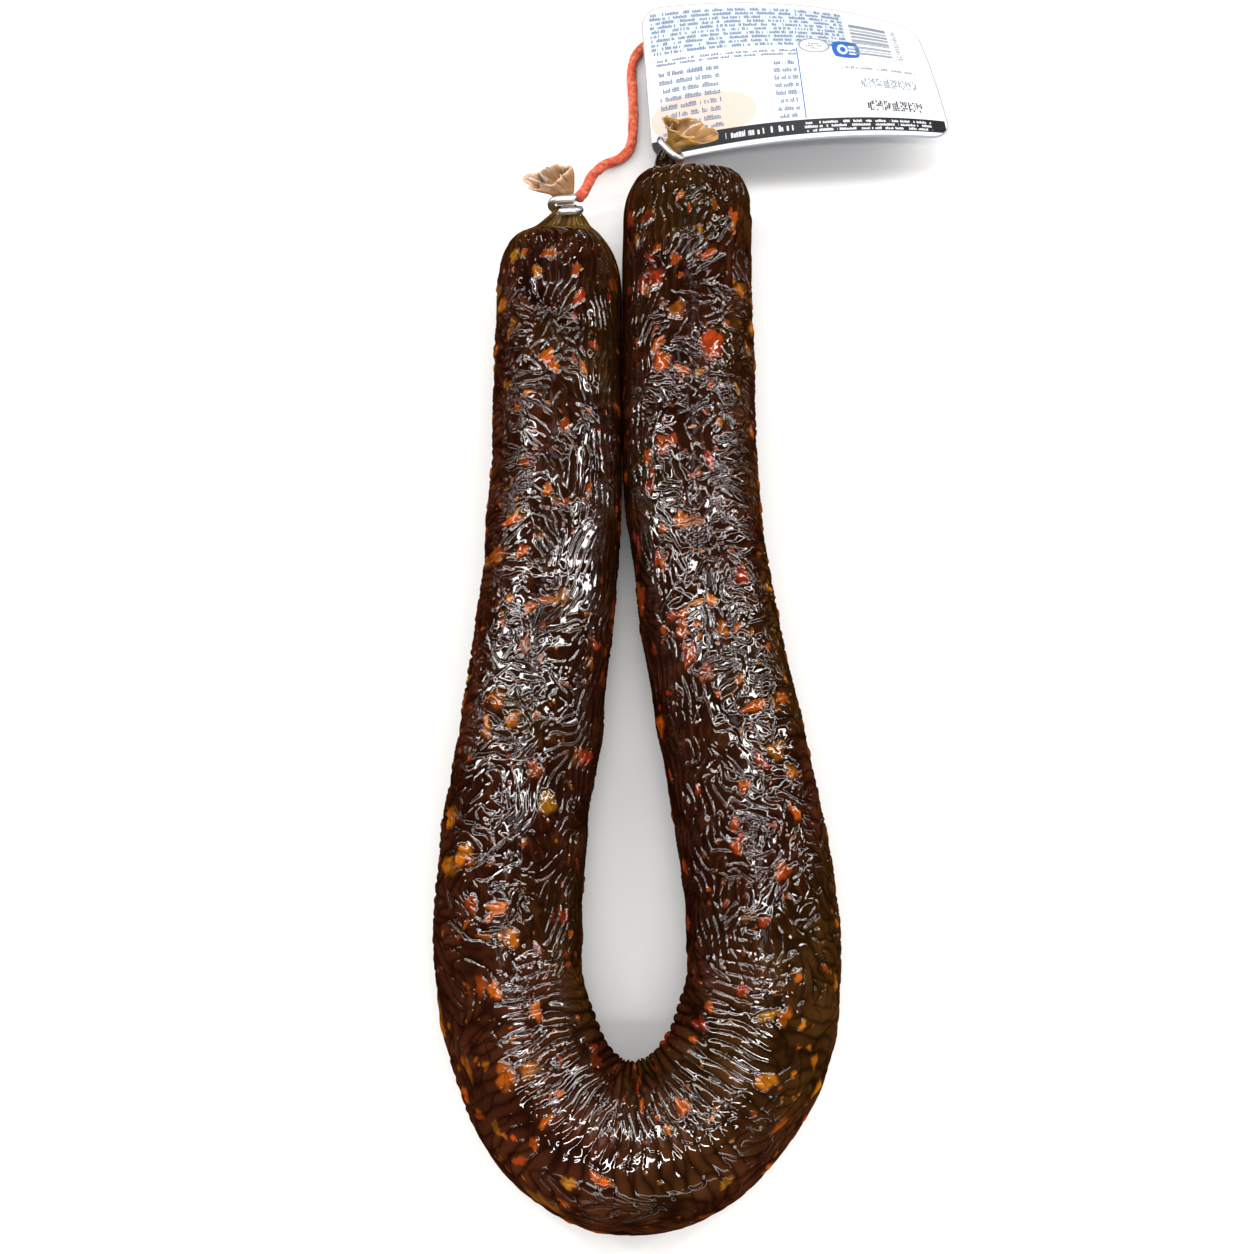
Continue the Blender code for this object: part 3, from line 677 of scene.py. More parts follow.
def skinTints(rings, zones):    # where the skin shines, where it is olive and where it is light at the clips
    outer, top, bend, gather = zones["outer"], zones["top"], zones["bend"], zones["gather"]
    halfway = 0.5 * rings["at"][-1]
    secondLeg = smoothStep(rings["at"][:, None], halfway - casing["midBend"], halfway + casing["midBend"])
    innerGlint, outerGlint = gloss["glint"]
    glint = np.maximum(grown(-outer, "glint"), outerGlint * secondLeg * grown(outer, "glint"))
    glint = innerGlint * glint * grown(top, "flank") * (1.0 - bend)
    dullFrom, dullTo = gloss["dull"]
    dullFrom = dullFrom + gloss["dullSecond"] * secondLeg * (1.0 - bend)
    dull = smoothStep(outer + gloss["dullBend"] * bend, dullFrom, dullTo)
    low = grown(-outer, "low") * (1.0 - bend)
    lift = grown(top + gloss["lowInner"] * low, "lift") * (1.0 - gloss["dulling"] * dull)
    shaded, share = gloss["olive"]
    olive = drift(outer.shape, "olive") + shaded * (2.0 * secondLeg - 1.0) * outer + share
    cone = 1.0 - gloss["secondCone"] * secondLeg
    return {
        "shine": gloss["least"] + gloss["gain"] * np.maximum(lift, glint),
        "olive": np.maximum(grown(olive, "olive"), grown(gather, "oliveEnds") * cone),
        "gather": gather * cone,
    }


def wrinkleCasing(rings):    # the height of the skin, and the fields that its colour and gloss follow
    shape = (len(rings["at"]), casing["drawn"])
    zones = casingZones(rings, shape)
    made = wrinklePatterns(shape, zones)
    flecks = scatterFlecks(rings, zones["heading"], zones["outer"])
    fields = {"fleck": flecks["fleck"], "tone": flecks["tone"], "ridge": wrinkleRidges(zones, made)}
    fields.update(skinTints(rings, zones))
    return wrinkleHeight(rings, zones, made, flecks), fields


def gridNormals(shell):    # of a rolled grid of ring points
    along = np.gradient(shell, axis=0)
    wrapped = np.concatenate([shell[:, -1:], shell, shell[:, :1]], axis=1)
    normals = np.cross(along, wrapped[:, 2:] - wrapped[:, :-2])
    middle = shell.mean(axis=1, keepdims=True)
    if np.median(np.sum(normals * (shell - middle), axis=2)) < 0.0:
        normals = -normals
    return normals / np.maximum(np.linalg.norm(normals, axis=2, keepdims=True), tiny)


def rollPiece(name, shell, fields, normals):    # a flat grid rolled into a tube, its ends closed to a point
    tips = [shell[end].mean(axis=0) + 0.0 * shell[:1] for end in (0, -1)]
    shell = np.concatenate([tips[0], shell, tips[1]])
    rows, around = shell.shape[:2]
    clearSelection()
    bpy.ops.mesh.primitive_grid_add(x_subdivisions=around, y_subdivisions=rows - 1, size=0.1)
    piece = bpy.context.object
    piece.name = name
    piece.data.name = name

    def spread(field):    # the same value on the closing points, and the first column again at the seam
        field = np.concatenate([field[:1], field, field[-1:]])
        return np.concatenate([field, field[:, :1]], axis=1).astype(np.float32).ravel()

    wrapped = np.concatenate([shell, shell[:, :1]], axis=1)
    piece.data.vertices.foreach_set("co", inFrame(wrapped).astype(np.float32).ravel())
    for key, field in fields.items():
        held = piece.data.attributes.new(key, "FLOAT", "POINT")
        held.data.foreach_set("value", spread(field))
    held = piece.data.attributes.new("outward", "FLOAT_VECTOR", "POINT")
    held.data.foreach_set("vector", spread(normals))
    bpy.ops.object.mode_set(mode="EDIT")
    bpy.ops.mesh.select_all(action="SELECT")
    bpy.ops.mesh.remove_doubles(threshold=1e-7)
    bpy.ops.mesh.normals_make_consistent(inside=False)
    bpy.ops.object.mode_set(mode="OBJECT")
    bpy.ops.object.shade_smooth()
    kept = np.empty(len(piece.data.vertices) * 3, dtype=np.float32)
    piece.data.attributes["outward"].data.foreach_get("vector", kept)
    piece.data.normals_split_custom_set_from_vertices(kept.reshape(-1, 3))
    piece.data.attributes.remove(piece.data.attributes["outward"])
    return piece


def settlePiece(piece, node, material):
    piece.data.materials.clear()
    piece.data.materials.append(material)
    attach(piece, "root")
    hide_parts(node)


rings = layCasing()
height, fields = wrinkleCasing(rings)
fields = {key: onRings(field) for key, field in fields.items()}
shell = pourShell(rings, onRings(height), ringAngles())
normals = gridNormals(shell)
print("casing laid out:", shell.shape)

names = ["casingLeftEnd", "casingLeftUpper", "casingLeftLower", "casingBend", "casingRightLower",
         "casingRightUpper", "casingRightEnd"]
cuts = np.linspace(*np.searchsorted(rings["at"], rings["necks"]), len(names) + 1).astype(int)
casingPieces = []
for name, start, end in zip(names, cuts, cuts[1:]):
    part = slice(start, end + 1)    # neighbours share a ring
    partFields = {key: field[part] for key, field in fields.items()}
    casingPieces.append(rollPiece(name, shell[part], partFields, normals[part]))
print("casing rolled")

skinLook = {    # colours in the valleys and on the ridges: painted shade in the valleys, painted highlight on the ridges
    "maroon": ((0.0055, 0.0012, 0.0005), (0.044, 0.0118, 0.0048)),
    "olive": ((0.0056, 0.0020, 0.0005), (0.044, 0.0172, 0.0040)),
    "cone": ((0.010, 0.004, 0.0008), (0.24, 0.125, 0.018)),
    "coneHold": 4.5,           # the higher, the closer the light cone keeps to the clip
    "cloud": (0.7, 0.45),      # how uneven the painted highlight on the ridges is and how light it is at least
    "bare": (0.75, 0.3),       # how much flecks fade into the valleys' painted shade and how much is left of them
    "amber": (0.30, 0.12, 0.005, 1.0),
    "orange": (0.40, 0.072, 0.004, 1.0),
    "red": (0.27, 0.020, 0.006, 1.0),
    "grain": (110.0, 0.02),
    "sockets": {"Roughness": 0.5, "Specular IOR Level": 0.0, "Coat Roughness": 0.05, "Coat IOR": 1.6},
}


def casingMaterial():
    made, tree, shader = newMaterial("casingSkin", skinLook["sockets"])
    cloud = addGrain(tree, shader, *skinLook["grain"])
    ridge = attribute(tree, "ridge")
    # painted shade and highlight: the skin is darker in the wrinkles' valleys and lighter on their ridges
    lit = mathNode(tree, "MULTIPLY", ridge, mathNode(tree, "MULTIPLY_ADD", cloud, *skinLook["cloud"]))
    maroon, olive, cone = (mixColour(tree, lit, *skinLook[key]) for key in ("maroon", "olive", "cone"))
    base = mixColour(tree, attribute(tree, "olive"), maroon, olive)
    nearClip = mathNode(tree, "POWER", attribute(tree, "gather"), skinLook["coneHold"])
    base = mixColour(tree, nearClip, base, cone)
    tones = addNode(tree, "ShaderNodeValToRGB", {"Fac": attribute(tree, "tone")})
    stops = tones.color_ramp.elements
    stops[0].color = skinLook["amber"]
    stops[1].color = skinLook["red"]
    stops.new(0.5).color = skinLook["orange"]
    # the flecks fade into the painted shade of the valleys
    bare = mathNode(tree, "MULTIPLY_ADD", ridge, *skinLook["bare"], clamp=True)
    shown = mathNode(tree, "MULTIPLY", attribute(tree, "fleck"), bare)
    tree.links.new(mixColour(tree, shown, base, tones.outputs["Color"]), shader.inputs["Base Color"])
    tree.links.new(attribute(tree, "shine"), shader.inputs["Coat Weight"])
    return made


skinMaterial = casingMaterial()
for piece in casingPieces:
    settlePiece(piece, "sausage", skinMaterial)

tails = {    # sizes in mm, lobes are waves round the rim with their swing outwards
    "around": 216,
    "rows": 64,
    "wall": 0.55,
    "closedShare": 0.35,       # how much of it is flat and has no hollow
    "ragged": ((4, 0.05), (7, 0.05), (11, 0.035), (19, 0.02)),    # waves in the length of the rim
    "strands": (13.0, 0.10),   # small folds round the wall and their depth
    "strandFade": 0.5,         # how much shallower they are at the rim
    "leastReach": 0.3,         # of the rim, as a share of the tail's length
    "winding": (-1.2, 1.2),    # how far a lobe may turn from the clip to the rim, in radians
    "lobeSize": 0.9,
    "opens": (0.12, 1.0),      # from where to where the lobes grow, as shares of the length
    "swingShares": (1.0, 0.75),    # of the lobes across and above
    "wallWaves": (0.8, 0.35, 3.0),    # mean thickness as a share of the wall, its swing and waves
    "lip": 0.45,               # how far the rim bulges, in walls
    "foldShade": 0.25,         # painted light: how much lighter the outward lobes are and darker the inward folds, for each mm
    "left": {"seed": 71, "skew": 0.12, "skewTurn": -70.0, "meander": 0.22,
             "lobes": ((2, 0.3), (3, 0.5), (5, 0.45), (9, 0.35), (14, 0.18))},
    "right": {"seed": 77, "skew": 0.12, "skewTurn": -80.0, "meander": 0.26,
              "lobes": ((2, 0.4), (3, 0.7), (5, 0.6), (8, 0.4), (13, 0.2))},
}


def ringValues(rings, at):    # every ring value at any place along the casing
    held = {}
    for key in ("centre", "half", "side", "up"):
        columns = [np.interp(at, rings["at"], rings[key][:, i]) for i in range(rings[key].shape[1])]
        held[key] = np.stack(columns, axis=-1)
    return held


def tailShell(rings, which, neckAt, rimAt):
    want = tails[which]
    draw = np.random.default_rng(want["seed"])
    angles = 2.0 * math.pi * np.arange(tails["around"]) / tails["around"]
    ragged = sum(swing * np.cos(waves * angles + draw.uniform(*anyPhase)) for waves, swing in tails["ragged"])
    reach = 1.0 - want["skew"] * (0.5 - 0.5 * np.cos(angles - math.radians(want["skewTurn"]))) + ragged
    share = np.linspace(0.0, 1.0, tails["rows"])[:, None]
    reach = np.clip(reach, tails["leastReach"], 1.0)
    held = ringValues(rings, neckAt + (rimAt - neckAt) * share * reach[None, :])
    swing, sway = 0.0, 0.0
    for waves, size in want["lobes"]:
        phase = draw.uniform(*anyPhase) + draw.uniform(*tails["winding"]) * share
        swing = swing + size * np.cos(waves * angles[None, :] + phase)
        sway = sway + want["meander"] * size / tails["lobeSize"] * np.sin(waves * angles[None, :] + phase)
    opening = smoothStep(share, *tails["opens"])
    turned = angles[None, :] + sway * opening
    outer = held["half"] + (swing * opening)[:, :, None] * np.array(tails["swingShares"])
    strandCount, strandDepth = tails["strands"]
    strands = strandDepth * np.abs(np.sin(strandCount * angles[None, :] + 1.0))
    strands = strands * (1.0 - tails["strandFade"] * opening)
    across = (outer[:, :, 0] - strands) * np.cos(turned)
    above = (outer[:, :, 1] - strands) * np.sin(turned)
    skin = held["centre"] + across[:, :, None] * held["side"] + above[:, :, None] * held["up"]
    normals = gridNormals(skin)
    mean, swell, waves = tails["wallWaves"]
    inner = skin - normals * tails["wall"] * (mean + swell * np.cos(waves * angles + 1.0))[None, :, None]
    lip = 0.5 * (skin[-1] + inner[-1])
    onwards = skin[-1] - skin[-2]
    lip = lip + tails["lip"] * tails["wall"] * onwards / np.linalg.norm(onwards, axis=1)[:, None]
    closed = int(tails["closedShare"] * tails["rows"])
    lining = inner[closed:][::-1]
    whole = np.concatenate([skin, lip[None], lining])
    level = np.zeros((1, tails["around"]))
    shares = np.concatenate([share, [[1.0]], share[closed:][::-1]]) + level
    hollow = np.concatenate([np.zeros((len(skin), 1)), [[0.5]], np.ones((len(lining), 1))]) + level
    # painted shade and highlight on the wall: darker where a lobe folds in, lighter where it swings out
    fold = np.concatenate([swing, swing[-1:], swing[closed:][::-1]]) * shares
    return whole, {"rim": shares, "hollow": hollow, "fold": 0.5 + tails["foldShade"] * fold}


tailLooks = {    # inside dark and light, wall in its folds and on its lobes (painted shade and painted highlight), rim
    "left": {"inside": ((0.05, 0.016, 0.004), (0.30, 0.13, 0.022)),
             "wall": ((0.16, 0.060, 0.014), (0.40, 0.21, 0.095)), "rim": (0.56, 0.35, 0.22)},
    "right": {"inside": ((0.05, 0.010, 0.006), (0.30, 0.13, 0.024)),
              "wall": ((0.13, 0.050, 0.006), (0.34, 0.17, 0.018)), "rim": (0.38, 0.20, 0.035)},
    "rimHold": 7.0,            # the higher, the narrower the light rim
    "rimCloud": (1.2, 0.2),    # how uneven it is and how light at least
    "grain": (260.0, 0.25),
    "sockets": {"Roughness": 0.4, "Coat Weight": 0.8, "Coat Roughness": 0.08},
}


def tailMaterial(which):
    look = tailLooks[which]
    made, tree, shader = newMaterial(which + "TailCasing", tailLooks["sockets"])
    cloud = addGrain(tree, shader, *tailLooks["grain"])
    # painted shade in the wall's folds and painted highlight on its lobes
    wall = mixColour(tree, attribute(tree, "fold"), *look["wall"])
    body = mixColour(tree, attribute(tree, "hollow"), wall, mixColour(tree, cloud, *look["inside"]))
    nearRim = mathNode(tree, "POWER", attribute(tree, "rim"), tailLooks["rimHold"])
    uneven = mathNode(tree, "MULTIPLY_ADD", cloud, *tailLooks["rimCloud"], clamp=True)
    lip = mathNode(tree, "MULTIPLY", nearRim, uneven)
    tree.links.new(mixColour(tree, lip, body, look["rim"]), shader.inputs["Base Color"])
    return made


for which, neckAt, rimAt in (("left", rings["necks"][0], rings["at"][0]),
                             ("right", rings["necks"][1], rings["at"][-1])):
    whole, tailFields = tailShell(rings, which, neckAt, rimAt)
    piece = rollPiece("tail" + which.capitalize(), whole, tailFields, gridNormals(whole))
    settlePiece(piece, "sausage", tailMaterial(which))
print("tails made")

clip = {    # sizes in mm
    "wire": 1.8, "halfLength": 3.6, "halfHeight": 2.15, "gap": 0.8, "overlap": 3.0, "tailStart": 2.2,
    "tailEnd": 1.1, "arcPoints": 14, "around": 28, "tipRings": 6, "tipTurns": (12.0, 84.0), "step": 0.12,
    "grain": (500.0, 0.06), "dark": (0.70, 0.70, 0.72), "light": (0.88, 0.88, 0.90),
    "sockets": {"Metallic": 1.0, "Roughness": 0.42},
}


def clipArc(middle, low, high, ahead):    # points of a round end, ahead says how far along the neck each is
    tall = clip["halfHeight"]
    return [(middle + tall * math.cos(angle), tall * math.sin(angle), ahead(angle))
            for angle in np.linspace(low, high, clip["arcPoints"])]


def ringClip():    # two bars and two round ends, open by a small gap
    straight = clip["halfLength"] - clip["halfHeight"]
    gapAngle = sum(math.asin(0.5 * clip[key] / clip["halfHeight"]) for key in ("gap", "wire"))
    arcs = ((-straight, math.pi + gapAngle, 1.5 * math.pi), (straight, -0.5 * math.pi, 0.5 * math.pi),
            (-straight, 0.5 * math.pi, math.pi - gapAngle))
    return sum((clipArc(*arc, lambda angle: 0.0) for arc in arcs), [])


def lappedClip():    # one and a half turns, with two bars on top
    straight = clip["halfLength"] - clip["halfHeight"]
    half = 0.5 * clip["overlap"]
    start = (-clip["tailStart"], clip["halfHeight"], half)
    crossing = clipArc(straight, 0.5 * math.pi, -0.5 * math.pi, lambda angle: half * math.sin(angle))
    back = clipArc(-straight, -0.5 * math.pi, -1.5 * math.pi, lambda angle: -half)
    return [start] + crossing + back + [(clip["tailEnd"], clip["halfHeight"], -half)]


def placeWire(spots, row, sign):    # from the clip's own plane to its neck
    across, above, ahead = (values[:, None] for values in np.array(spots).T)
    return (rings["centre"][row] + across * rings["side"][row] + above * rings["up"][row]
            + ahead * sign * rings["direction"][row])


def evenly(points, step):    # the same line with points an even step apart
    along = chordLengths(points)
    at = np.linspace(0.0, along[-1], int(round(along[-1] / step)) + 1)
    return np.stack([np.interp(at, along, points[:, i]) for i in range(3)], axis=1)


def lineFrames(points):    # directions along a line, and two axes across it that never twist
    direction = np.gradient(points, axis=0)
    direction /= np.linalg.norm(direction, axis=1)[:, None]
    first = np.cross(direction[0], (0.0, 0.0, 1.0))
    if np.linalg.norm(first) < 0.1:
        first = np.cross(direction[0], (1.0, 0.0, 0.0))
    side = np.empty_like(points)
    side[0] = first / np.linalg.norm(first)
    for i in range(1, len(points)):
        flat = side[i - 1] - direction[i] * (side[i - 1] @ direction[i])
        side[i] = flat / np.linalg.norm(flat)
    return direction, side, np.cross(direction, side)


def sweep(points, radius):    # ring points about a line, radius given for each row and point round it
    around = radius.shape[1]
    direction, side, up = lineFrames(points)
    angles = 2.0 * math.pi * np.arange(around) / around
    ring = np.cos(angles)[None, :, None] * side[:, None, :] + np.sin(angles)[None, :, None] * up[:, None, :]
    return points[:, None, :] + radius[:, :, None] * ring


def roundTips(shell, points, radius):    # adds half balls to both ends
    turns = np.radians(np.linspace(*clip["tipTurns"], clip["tipRings"]))
    ends = []
    for end, beyond in ((0, points[0] - points[1]), (-1, points[-1] - points[-2])):
        outwards = radius * beyond / np.linalg.norm(beyond)
        ring = shell[end] - points[end]
        ends.append([points[end] + ring * math.cos(turn) + outwards * math.sin(turn) for turn in turns])
    return np.concatenate([ends[0][::-1], shell, ends[1]])


def clipMaterial():
    made, tree, shader = newMaterial("clipWire", clip["sockets"])
    cloud = addGrain(tree, shader, *clip["grain"])
    tree.links.new(mixColour(tree, cloud, clip["dark"], clip["light"]), shader.inputs["Base Color"])
    return made


wireMaterial = clipMaterial()
for side, bentWire, at, sign in (("left", lappedClip, rings["necks"][0], -1.0),
                                 ("right", ringClip, rings["necks"][1], 1.0)):
    line = placeWire(bentWire(), int(np.argmin(np.abs(rings["at"] - at))), sign)
    line = evenly(line, clip["step"])
    thick = np.full((len(line), clip["around"]), 0.5 * clip["wire"])
    wire = roundTips(sweep(line, thick), line, 0.5 * clip["wire"])
    piece = rollPiece("wire" + side.capitalize(), wire, {}, gridNormals(wire))
    settlePiece(piece, "clip_" + side, wireMaterial)
print("clips made")

twine = {    # sizes in mm
    "diameter": 2.8,
    "around": 40,
    "step": 0.3,
    "layLength": 12.0,         # of one full twist of its two strands
    "groove": 0.15,            # how deep the strands part, as a share of the radius
    "strandRound": 0.6,        # the lower, the narrower the parting
    "hairs": 0.05,             # their height
    "hairWaves": (9.0, 2.0, 0.6),    # how many round the string, how slanted and how uneven they are
    "hairDrift": (2.0, 91),    # size of their patches and seed
    "paleShare": (3.0, 1.4),   # of the pale fibres: how rare and how strong
    "tipRadius": 0.3,          # as a share of the diameter
    # dark in the grooves between the strands and light on their crowns: painted shade and painted highlight
    "grain": (700.0, 0.5), "dark": (0.30, 0.030, 0.014), "light": (0.52, 0.075, 0.036),
    "pale": (0.62, 0.20, 0.12), "sockets": {"Roughness": 0.85, "Specular IOR Level": 0.2},
    # middle line from the left clip along the floor, under the card and up to the right clip
    "route": [
        (-12.2, 113.4, 19.6), (-11.7, 114.6, 18.9), (-11.1, 116.3, 17.9), (-10.3, 119.7, 15.8),
        (-9.5, 124.8, 12.4), (-7.8, 132.0, 6.4), (-5.0, 137.2, 2.6), (-1.9, 139.6, 1.5), (0.4, 142.2, 1.5),
        (1.6, 148.0, 1.5), (1.8, 157.0, 1.5), (1.4, 166.0, 1.5), (2.2, 173.6, 1.5), (6.4, 178.4, 1.5),
        (12.8, 177.8, 1.5), (17.0, 172.0, 1.5), (18.2, 162.0, 1.5), (17.4, 151.0, 1.5), (15.6, 142.4, 1.6),
        (13.4, 136.4, 2.6), (12.0, 132.6, 5.2), (11.2, 130.4, 8.8), (11.0, 129.9, 12.8), (11.1, 129.9, 17.0),
        (11.4, 129.4, 20.6), (11.7, 128.6, 23.2),
    ],
}


def twineLine():    # the middle line, about 1 mm between points at first and then even
    route = np.array(twine["route"])
    along = chordLengths(route)
    points = naturalSpline(route, along, np.linspace(0.0, along[-1], int(along[-1])))
    points[:, 2] = np.maximum(points[:, 2], 0.5 * twine["diameter"])
    return evenly(points, twine["step"])


def twineMaterial():
    made, tree, shader = newMaterial("twine", twine["sockets"])
    cloud = addGrain(tree, shader, *twine["grain"])
    # painted shade in the grooves between the strands, painted highlight on their crowns
    shade = mixColour(tree, attribute(tree, "strand"), twine["dark"], twine["light"])
    hold, strength = twine["paleShare"]
    pale = mathNode(tree, "MULTIPLY", mathNode(tree, "POWER", cloud, hold), strength, clamp=True)
    tree.links.new(mixColour(tree, pale, shade, twine["pale"]), shader.inputs["Base Color"])
    return made


line = twineLine()
angles = 2.0 * math.pi * np.arange(twine["around"]) / twine["around"]
twist = 2.0 * math.pi * chordLengths(line)[:, None] / twine["layLength"]
lay = angles[None, :] - 0.5 * twist
strand = np.abs(np.cos(lay)) ** twine["strandRound"]
waves, slant, uneven = twine["hairWaves"]
hair = np.cos(waves * lay + slant * twist) + uneven * softNoise(lay.shape, *twine["hairDrift"])
radius = 0.5 * twine["diameter"] * (1.0 - twine["groove"] * (1.0 - strand)) - twine["hairs"] * (1.0 - hair)
rope = roundTips(sweep(line, radius), line, twine["tipRadius"] * twine["diameter"])
tips = clip["tipRings"]
strand = np.concatenate([strand[:1]] * tips + [strand] + [strand[-1:]] * tips)
piece = rollPiece("twineString", rope, {"strand": strand}, gridNormals(rope))
settlePiece(piece, "string", twineMaterial())
print("string made")

card = {    # sizes in mm
    "length": 80.0, "height": 50.0, "thick": 0.5, "corner": 6.0, "middle": (44.9, 158.7, 14.2),
    "archRadius": 125.0, "archAngle": 32.1, "turns": (-6.0, 1.1, 2.7), "curl": 1.2, "cell": 0.8,
    "smoothAngle": 40.0,
    "frontFrom": 0.3,          # how far up a face's normal has to point for it to be printed
    "outline": 0.3,            # width of the fine line round it
    "grain": (900.0, 0.03), "sockets": {"Roughness": 0.42},
}


def bendCard(along, above):    # places on the flat card, from its middle, to the layout plan
    arch = math.radians(card["archAngle"])
    over = along * math.cos(arch) + above * math.sin(arch)
    beside = above * math.cos(arch) - along * math.sin(arch)
    bent = card["archRadius"] * np.sin(over / card["archRadius"])
    sink = card["archRadius"] * (1.0 - np.cos(over / card["archRadius"]))
    curl = (along / card["length"] + 0.5) * (above / card["height"] + 0.5)
    x, y = bent * math.cos(arch) - beside * math.sin(arch), bent * math.sin(arch) + beside * math.cos(arch)
    spots = np.stack([x, y, -sink - card["curl"] * curl**3], axis=1)
    turned = np.array(Euler([math.radians(turn) for turn in card["turns"]], "XYZ").to_matrix())
    return spots @ turned.T + card["middle"]


def roundCorners(along, above):
    reachX, reachY = 0.5 * card["length"] - card["corner"], 0.5 * card["height"] - card["corner"]
    pastX = np.maximum(np.abs(along) - reachX, 0.0)
    pastY = np.maximum(np.abs(above) - reachY, 0.0)
    corner = (pastX > 0.0) & (pastY > 0.0)
    shrink = np.where(corner, np.maximum(pastX, pastY) / np.maximum(np.hypot(pastX, pastY), tiny), 1.0)
    along = np.sign(along) * (np.abs(along) - pastX + pastX * shrink)
    above = np.sign(above) * (np.abs(above) - pastY + pastY * shrink)
    return along, above


def layCard():
    clearSelection()
    wide, tall = (int(round(card[key] / card["cell"])) for key in ("length", "height"))
    bpy.ops.mesh.primitive_grid_add(x_subdivisions=wide, y_subdivisions=tall, size=1.0)
    piece = bpy.context.object
    piece.name = "labelCard"
    piece.data.name = "labelCard"
    flat = np.empty(len(piece.data.vertices) * 3)
    piece.data.vertices.foreach_get("co", flat)
    flat = flat.reshape(-1, 3)
    along, above = roundCorners(flat[:, 0] * card["length"], flat[:, 1] * card["height"])
    corners = np.empty(len(piece.data.loops), dtype=int)
    piece.data.loops.foreach_get("vertex_index", corners)
    places = np.stack([along / card["length"] + 0.5, 0.5 - above / card["height"]], axis=1)
    piece.data.uv_layers.active.data.foreach_set("uv", places[corners].ravel())
    piece.data.vertices.foreach_set("co", inFrame(bendCard(along, above)).ravel())
    wall = piece.modifiers.new("thickness", "SOLIDIFY")
    wall.thickness = card["thick"] * mm
    wall.offset = 0.0
    bpy.ops.object.modifier_apply(modifier="thickness")
    bpy.ops.object.shade_smooth_by_angle(angle=math.radians(card["smoothAngle"]))
    return piece


ink = {
    "blue": (0.075, 0.11, 0.19), "grey": (0.17, 0.19, 0.23), "black": (0.010, 0.010, 0.013),
    # the pinkish tint is a painted reflection of the sausage's skin on the card, not ink
    "royal": (0.010, 0.09, 0.34), "white": (0.54, 0.57, 0.60), "peach": (0.54, 0.42, 0.36),
    "wash": (0.42, 0.47, 0.53), "rule": (0.30, 0.36, 0.44), "edge": (0.25, 0.25, 0.26),
}

# Fields of the print in mm from the card's upper left corner, the first a painted reflection of the skin:
# left, top, right, bottom and ink. Then come the pitch of its lines, how much of it is inked, the length of a
# letter, how many are printed, how round the field is, and the length of a word with its gap.
printLook = {
    "letter": 0.78,            # how much of a letter's length is inked
    "word": 0.84,              # how much of a word's length is inked
    "tall": (0.6, 0.7),        # how much taller some letters are, and the shortest
    "shift": (9.0, 5.0),       # how far the letters and words of each line are moved on, in letters and mm
    "rule": 100.0,             # a longer letter is a line without gaps
    "dotted": 0.8,             # closer lines stay in step with each other, as dots do
    "unset": 0.02,             # a field with a smaller pitch is solid, and a smaller word has no gaps
    "least": 0.01,             # what a size counts as when it is 0
}
printValues = ("Pitch", "Inked", "Letter", "Printed", "Round", "Word")
prints = [
    # a painted reflection of the sausage's skin on the card's lower left, not print
    (0.5, 31.0, 29.0, 45.0, "peach", 0, 0, 0, 0, 0.8, 0),
    (2.0, 1.6, 56.4, 16.8, "wash", 0, 0, 0, 0, 0, 0),
    (2.2, 1.8, 56.0, 16.6, "blue", 1.48, 0.68, 0.42, 0.80, 0, 6.1),
    (3.2, 17.8, 41.4, 20.4, "blue", 1.3, 0.62, 0.42, 0.84, 0, 7.3),
    (3.6, 21.2, 20.0, 42.6, "blue", 2.7, 0.50, 0.42, 0.93, 0, 5.3),
    (34.6, 21.2, 41.0, 42.6, "blue", 2.7, 0.50, 0.46, 0.93, 0, 3.1),
    (3.0, 23.4, 41.6, 43.0, "rule", 2.7, 0.05, 400, 1, 0, 0),
    (41.5, 17.6, 41.8, 43.2, "royal", 0, 0, 0, 0, 0, 0),
    (42.2, 13.8, 51.0, 19.4, "grey", 0, 0, 0, 0, 1, 0),
    (42.7, 14.2, 50.5, 19.0, "white", 0, 0, 0, 0, 1, 0),
    (44.4, 15.2, 48.8, 18.0, "grey", 0.9, 0.6, 0.8, 0.7, 1, 0),
    (51.6, 14.2, 59.4, 21.0, "royal", 0, 0, 0, 0, 0.45, 0),
    (53.0, 15.6, 56.0, 19.6, "white", 0, 0, 0, 0, 1, 0),
    (53.8, 16.5, 55.4, 18.7, "royal", 0, 0, 0, 0, 1, 0),
    (56.2, 15.6, 58.2, 19.6, "white", 1.3, 0.6, 400, 1, 0, 0),
    (57.8, 5.6, 68.8, 20.0, "grey", 0.50, 1, 400, 0.55, 0, 0),
    (70.4, 5.6, 71.8, 20.0, "grey", 1.15, 0.66, 0.4, 0.75, 0, 0),
    (53.0, 24.0, 74.4, 25.2, "grey", 1.2, 0.7, 0.5, 0.85, 0, 4.2),
    (58.0, 28.6, 73.6, 32.2, "grey", 0.72, 1.0, 0.52, 0.62, 0, 2.08),
    (58.6, 37.2, 73.6, 41.0, "black", 0.76, 1.0, 0.56, 0.66, 0, 2.24),
    (0.0, 43.4, 79.0, 48.3, "black", 0, 0, 0, 0, 0, 0),
    (14.0, 44.6, 38.0, 46.8, "white", 2.2, 0.8, 0.7, 0.7, 0, 5.0),
    (41.0, 43.9, 75.0, 47.8, "white", 1.3, 0.6, 0.45, 0.8, 0, 6.4),
]


